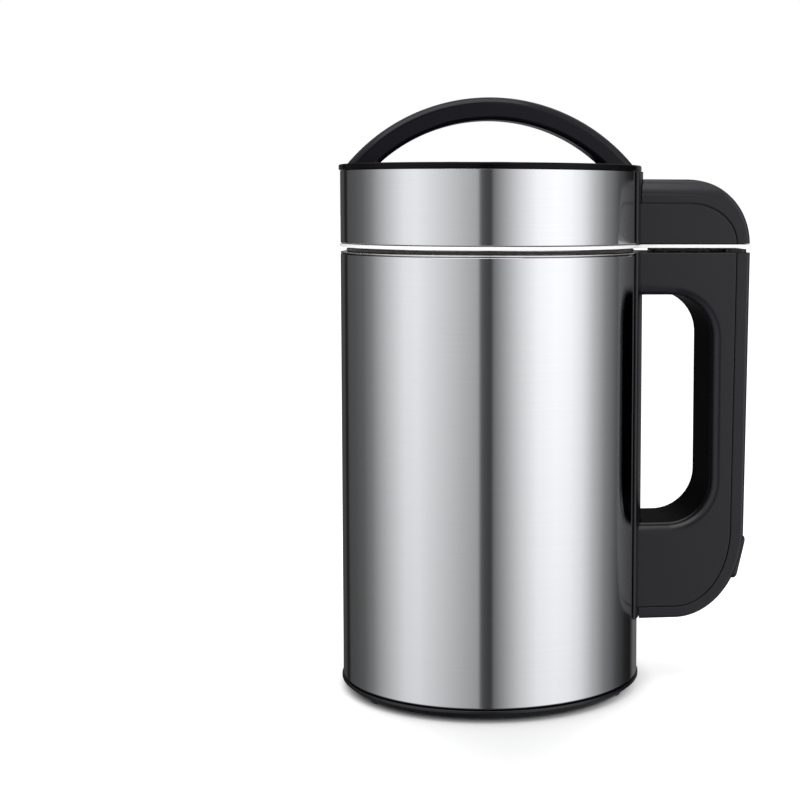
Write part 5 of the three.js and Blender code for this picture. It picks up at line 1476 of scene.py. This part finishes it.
class SOYMILK_OT_bail(Operator):
    """Mould the carry bail with its softened edges and round ears, and turn its two pins"""

    bl_idname = "soymilk.bail"
    bl_label = "Bail"

    def execute(self, context):
        self.arch(context.scene.soymilk_bail)
        self.pins()
        return {"FINISHED"}

    def pins(self):
        radius = PIN_HIGH.y
        right = bar("bail_pin_steel_2", "YZ", radius, PIN_LOW.x, PIN_HIGH.x, (0, PIVOT_HEIGHT))
        ease_edges(right, 0.5 * MM, lambda middle, edge: sharp(edge, 60), 3)
        left = place(copy_of(right, "bail_pin_steel_1"), turn=math.pi)
        hand_over(right, "head", "polished_steel", "bail_pin_2")
        hand_over(left, "head", "polished_steel", "bail_pin_1")

    def arch(self, sizes):
        half = BAIL_HIGH.y
        ear = 66 * MM
        outer = arch(sizes, arch_radius(sizes))
        inner = arch(sizes, arch_radius(sizes) - sizes.depth)
        foot = inner[0][0]
        outline = [
            (ear, -half), (ear, 0), *outer, (-ear, 0), (-ear, -half), (-foot, -half), *reversed(inner), (foot, -half),
        ]
        outline = [(across, PIVOT_HEIGHT + height) for across, height in outline]
        bail = slab("bail_moulding", outline, half)
        middle_radius = arch_radius(sizes) - sizes.depth / 2
        centre = Vector((0, 0, arch_centre(sizes)))

        def outside(middle, _):
            if middle.z > PIVOT_HEIGHT + 5 * MM:
                beyond = (middle - centre).xz.length > middle_radius
            else:
                beyond = abs(middle.x) > 60 * MM
            return abs(middle.y) > half - MERGE and beyond

        ease_edges(bail, sizes.outer_edge, outside)
        ease_sides(bail, sizes.inner_edge, half)
        through, above = 80 * MM, 300 * MM
        keep = block("keep", -through, through, -half - OVERRUN, half + OVERRUN, PIVOT_HEIGHT, above)
        carve(keep, bar("ears", "YZ", half, -through, through, (0, PIVOT_HEIGHT), 64), how="UNION")
        carve(bail, keep, how="INTERSECT")
        carve(bail, bar("pin_hole", "YZ", PIN_HOLE, -through, through, (0, PIVOT_HEIGHT)))
        hand_over(bail, "bail", "bail_plastic", "bail_handle")


class SOYMILK_OT_stage(Operator):
    """Set the pale floor, the soft studio light and the camera"""

    bl_idname = "soymilk.stage"
    bl_label = "Stage"

    def execute(self, context):
        settings = context.scene.soymilk_studio
        self.floor()
        self.room(context)
        self.lights(settings)
        self.camera(context, settings)
        return {"FINISHED"}

    def floor(self):
        let_go()
        bpy.ops.mesh.primitive_plane_add(size=FLOOR_WIDTH)
        floor = bpy.context.object
        floor.name = "pale_floor"
        pale = Finish("pale_floor", Base_Color=(0.9, 0.9, 0.9), Roughness=0.6)
        pale.wear("Specular IOR Level", 0)
        # The floor's glow paints a contact shadow round the foot: dark under the jug, brightening outwards
        spot = pale.where(FLOOR_CENTRE)
        away = pale.node("ShaderNodeVectorMath", {"operation": "LENGTH"}, {0: spot}, output="Value")
        stops = [(distance * MM / FLOOR_REACH, level) for distance, level in FLOOR_PAINTED_SHADOW]
        painted_contact_shadow = pale.node("ShaderNodeValToRGB", {"stops": stops}, {0: away / FLOOR_REACH})
        # Painted light: the glow grows to the left and right of the foot, so that no shadow shows beside it
        beside = (pale.node("ShaderNodeSeparateXYZ", None, {0: spot}) / FLOOR_PAINTED_SIDE_LIGHT) ** 2 + 1
        lit = pale.node("ShaderNodeVectorMath", {"operation": "SCALE"}, {0: painted_contact_shadow, "Scale": beside})
        lit = pale.node("ShaderNodeVectorMath", {"operation": "MINIMUM"}, {0: lit, 1: (FLOOR_MOST,) * 3})
        pale.wear("Emission Color", lit)
        pale.wear("Emission Strength", 1)
        floor.data.materials.append(pale.material)
        floor.visible_glossy = False

    def room(self, context):
        """Soft boxes and dark flags of the studio, by their direction round the object."""
        world = bpy.data.worlds.new("studio_room")
        context.scene.world = world
        world.use_nodes = True
        bench = NodeBench(world.node_tree)
        direction = bench.node("ShaderNodeTexCoord", output="Generated")
        parts = bench.node("ShaderNodeSeparateXYZ", None, {0: direction})
        front, height = parts.other("Y") * -1, parts.other("Z")
        azimuth = front.maths("ARCTAN2", parts, front)
        share = azimuth / (2 * math.pi) + 0.5
        stops = [((angle + 180) / 360, level) for angle, level in ROOM]
        ramp = bench.node("ShaderNodeValToRGB", {"stops": stops}, {0: share})
        rise = (height - OVERHEAD_FROM) * OVERHEAD_STEEPNESS
        overhead = rise.maths("SMOOTH_MIN", rise, 1, 0.1)
        overhead = overhead.maths("MAXIMUM", overhead, 0)
        below = height.maths("MINIMUM", height + DIM_FROM, 0) * DIM_SHARE + 1
        dimmed = bench.node("ShaderNodeVectorMath", {"operation": "SCALE"}, {0: ramp, "Scale": below})
        lit = bench.mix(overhead, dimmed, (0.75, 0.75, 0.76))
        seen = bench.node("ShaderNodeLightPath", output="Is Camera Ray")
        colour = bench.mix(seen, lit, (1, 1, 1))
        background = bench.node("ShaderNodeBackground", None, {0: colour, 1: 1.0})
        bench.output("ShaderNodeOutputWorld", background)

    def lights(self, settings):
        let_go()
        bpy.ops.object.light_add(type="AREA", location=(*KEY_PLACE, settings.key_height))
        key = bpy.context.object
        key.name = "overhead_softbox"
        key.data.energy = settings.key
        key.data.size = settings.key_size
        key.rotation_euler = KEY_TURN

    def camera(self, context, settings):
        let_go()
        bpy.ops.object.camera_add(location=CAMERA_PLACE)
        camera = bpy.context.object
        camera.name = "photo_camera"
        camera.rotation_euler = [math.radians(turn) for turn in (90 - CAMERA_PITCH, -CAMERA_ROLL, -CAMERA_YAW)]
        camera.data.shift_x, camera.data.shift_y = CAMERA_SHIFT
        camera.data.lens = settings.lens
        camera.data.sensor_width = 36
        context.scene.camera = camera
        context.scene.view_settings.view_transform = "Standard"


CAMERA_PLACE = (AXIS - 0.0695, -0.795, 0.2282)
CAMERA_PITCH = 5.0
CAMERA_YAW = 7.36
CAMERA_ROLL = 0.225
CAMERA_SHIFT = (-0.201, -0.0608)

# Painted contact shadow on the floor: the brightness of its glow by the distance from the middle of the foot, in
# millimetres, dark under the jug and brighter further out
FLOOR_CENTRE = (AXIS - 1.5 * MM, 0, 0)
FLOOR_REACH = 0.4
FLOOR_PAINTED_SHADOW = [(0, 0), (64, 0), (70, 0.09), (96, 0.13), (112, 0.16), (190, 0.45), (400, 0.65)]
FLOOR_MOST = 0.65
# Span of the painted light that brightens the floor to the left and right of the foot
FLOOR_PAINTED_SIDE_LIGHT = 0.036
FLOOR_WIDTH = 60

# Place of the overhead light on the plan, and its turn towards the object
KEY_PLACE = (-0.2, -0.35)
KEY_TURN = (math.radians(18), math.radians(-8), 0)

# Heights, from -1 straight down to 1 straight up, where the room turns to the pale ceiling and to the dim floor
OVERHEAD_FROM, OVERHEAD_STEEPNESS = 0.45, 4
DIM_FROM, DIM_SHARE = 0.05, 0.8

# Brightness of the room by its direction in degrees, 0 towards the front and 90 to the right
ROOM = [
    (-180, 0.07), (-156, 0.065), (-152, 0.018), (-147, 0.018), (-144, 0.08), (-130, 0.10), (-118, 0.14),
    (-107, 0.25), (-89, 0.62), (-73, 0.95), (-62, 1.00), (-45, 0.80), (-26, 0.57), (-14.2, 0.44), (-12.3, 0.12),
    (-9, 0.078), (-4.4, 0.05), (-2.6, 0.20), (0, 0.27), (5, 0.42), (18, 0.84), (31, 1.17), (45, 1.27),
    (57, 1.21), (68, 1.0), (80, 0.58), (93, 0.27), (110, 0.085), (124, 0.025), (136, 0.012), (145, 0.16),
    (180, 0.16),
]

OPERATORS = (
    SOYMILK_OT_finishes, SOYMILK_OT_jug, SOYMILK_OT_base, SOYMILK_OT_handle, SOYMILK_OT_inlet, SOYMILK_OT_coupler,
    SOYMILK_OT_head, SOYMILK_OT_top, SOYMILK_OT_buttons, SOYMILK_OT_motor, SOYMILK_OT_rotor, SOYMILK_OT_bail,
    SOYMILK_OT_stage,
)


class SOYMILK_PT_maker(Panel):
    """The steps of the soy milk maker, in the order in which they are made"""

    bl_label = "Soy milk maker"
    bl_idname = "SOYMILK_PT_maker"
    bl_space_type = "VIEW_3D"
    bl_region_type = "UI"
    bl_category = "Soy milk"

    def draw(self, context):
        for operator in OPERATORS:
            self.layout.operator(operator.bl_idname)


GROUPS = {
    "soymilk_jug": JugSizes,
    "soymilk_handle": HandleSizes,
    "soymilk_head": HeadSizes,
    "soymilk_bail": BailSizes,
    "soymilk_palette": Palette,
    "soymilk_studio": StudioSettings,
}


def register():
    for name, group in GROUPS.items():
        bpy.utils.register_class(group)
        setattr(bpy.types.Scene, name, PointerProperty(type=group))
    for operator in OPERATORS:
        bpy.utils.register_class(operator)
    bpy.utils.register_class(SOYMILK_PT_maker)


def unregister():
    bpy.utils.unregister_class(SOYMILK_PT_maker)
    for operator in reversed(OPERATORS):
        bpy.utils.unregister_class(operator)
    for name, group in GROUPS.items():
        delattr(bpy.types.Scene, name)
        bpy.utils.unregister_class(group)


def main():
    register()
    for operator in OPERATORS:
        group, step = operator.bl_idname.split(".")
        getattr(getattr(bpy.ops, group), step)()
    let_go()


if __name__ == "__main__":
    main()
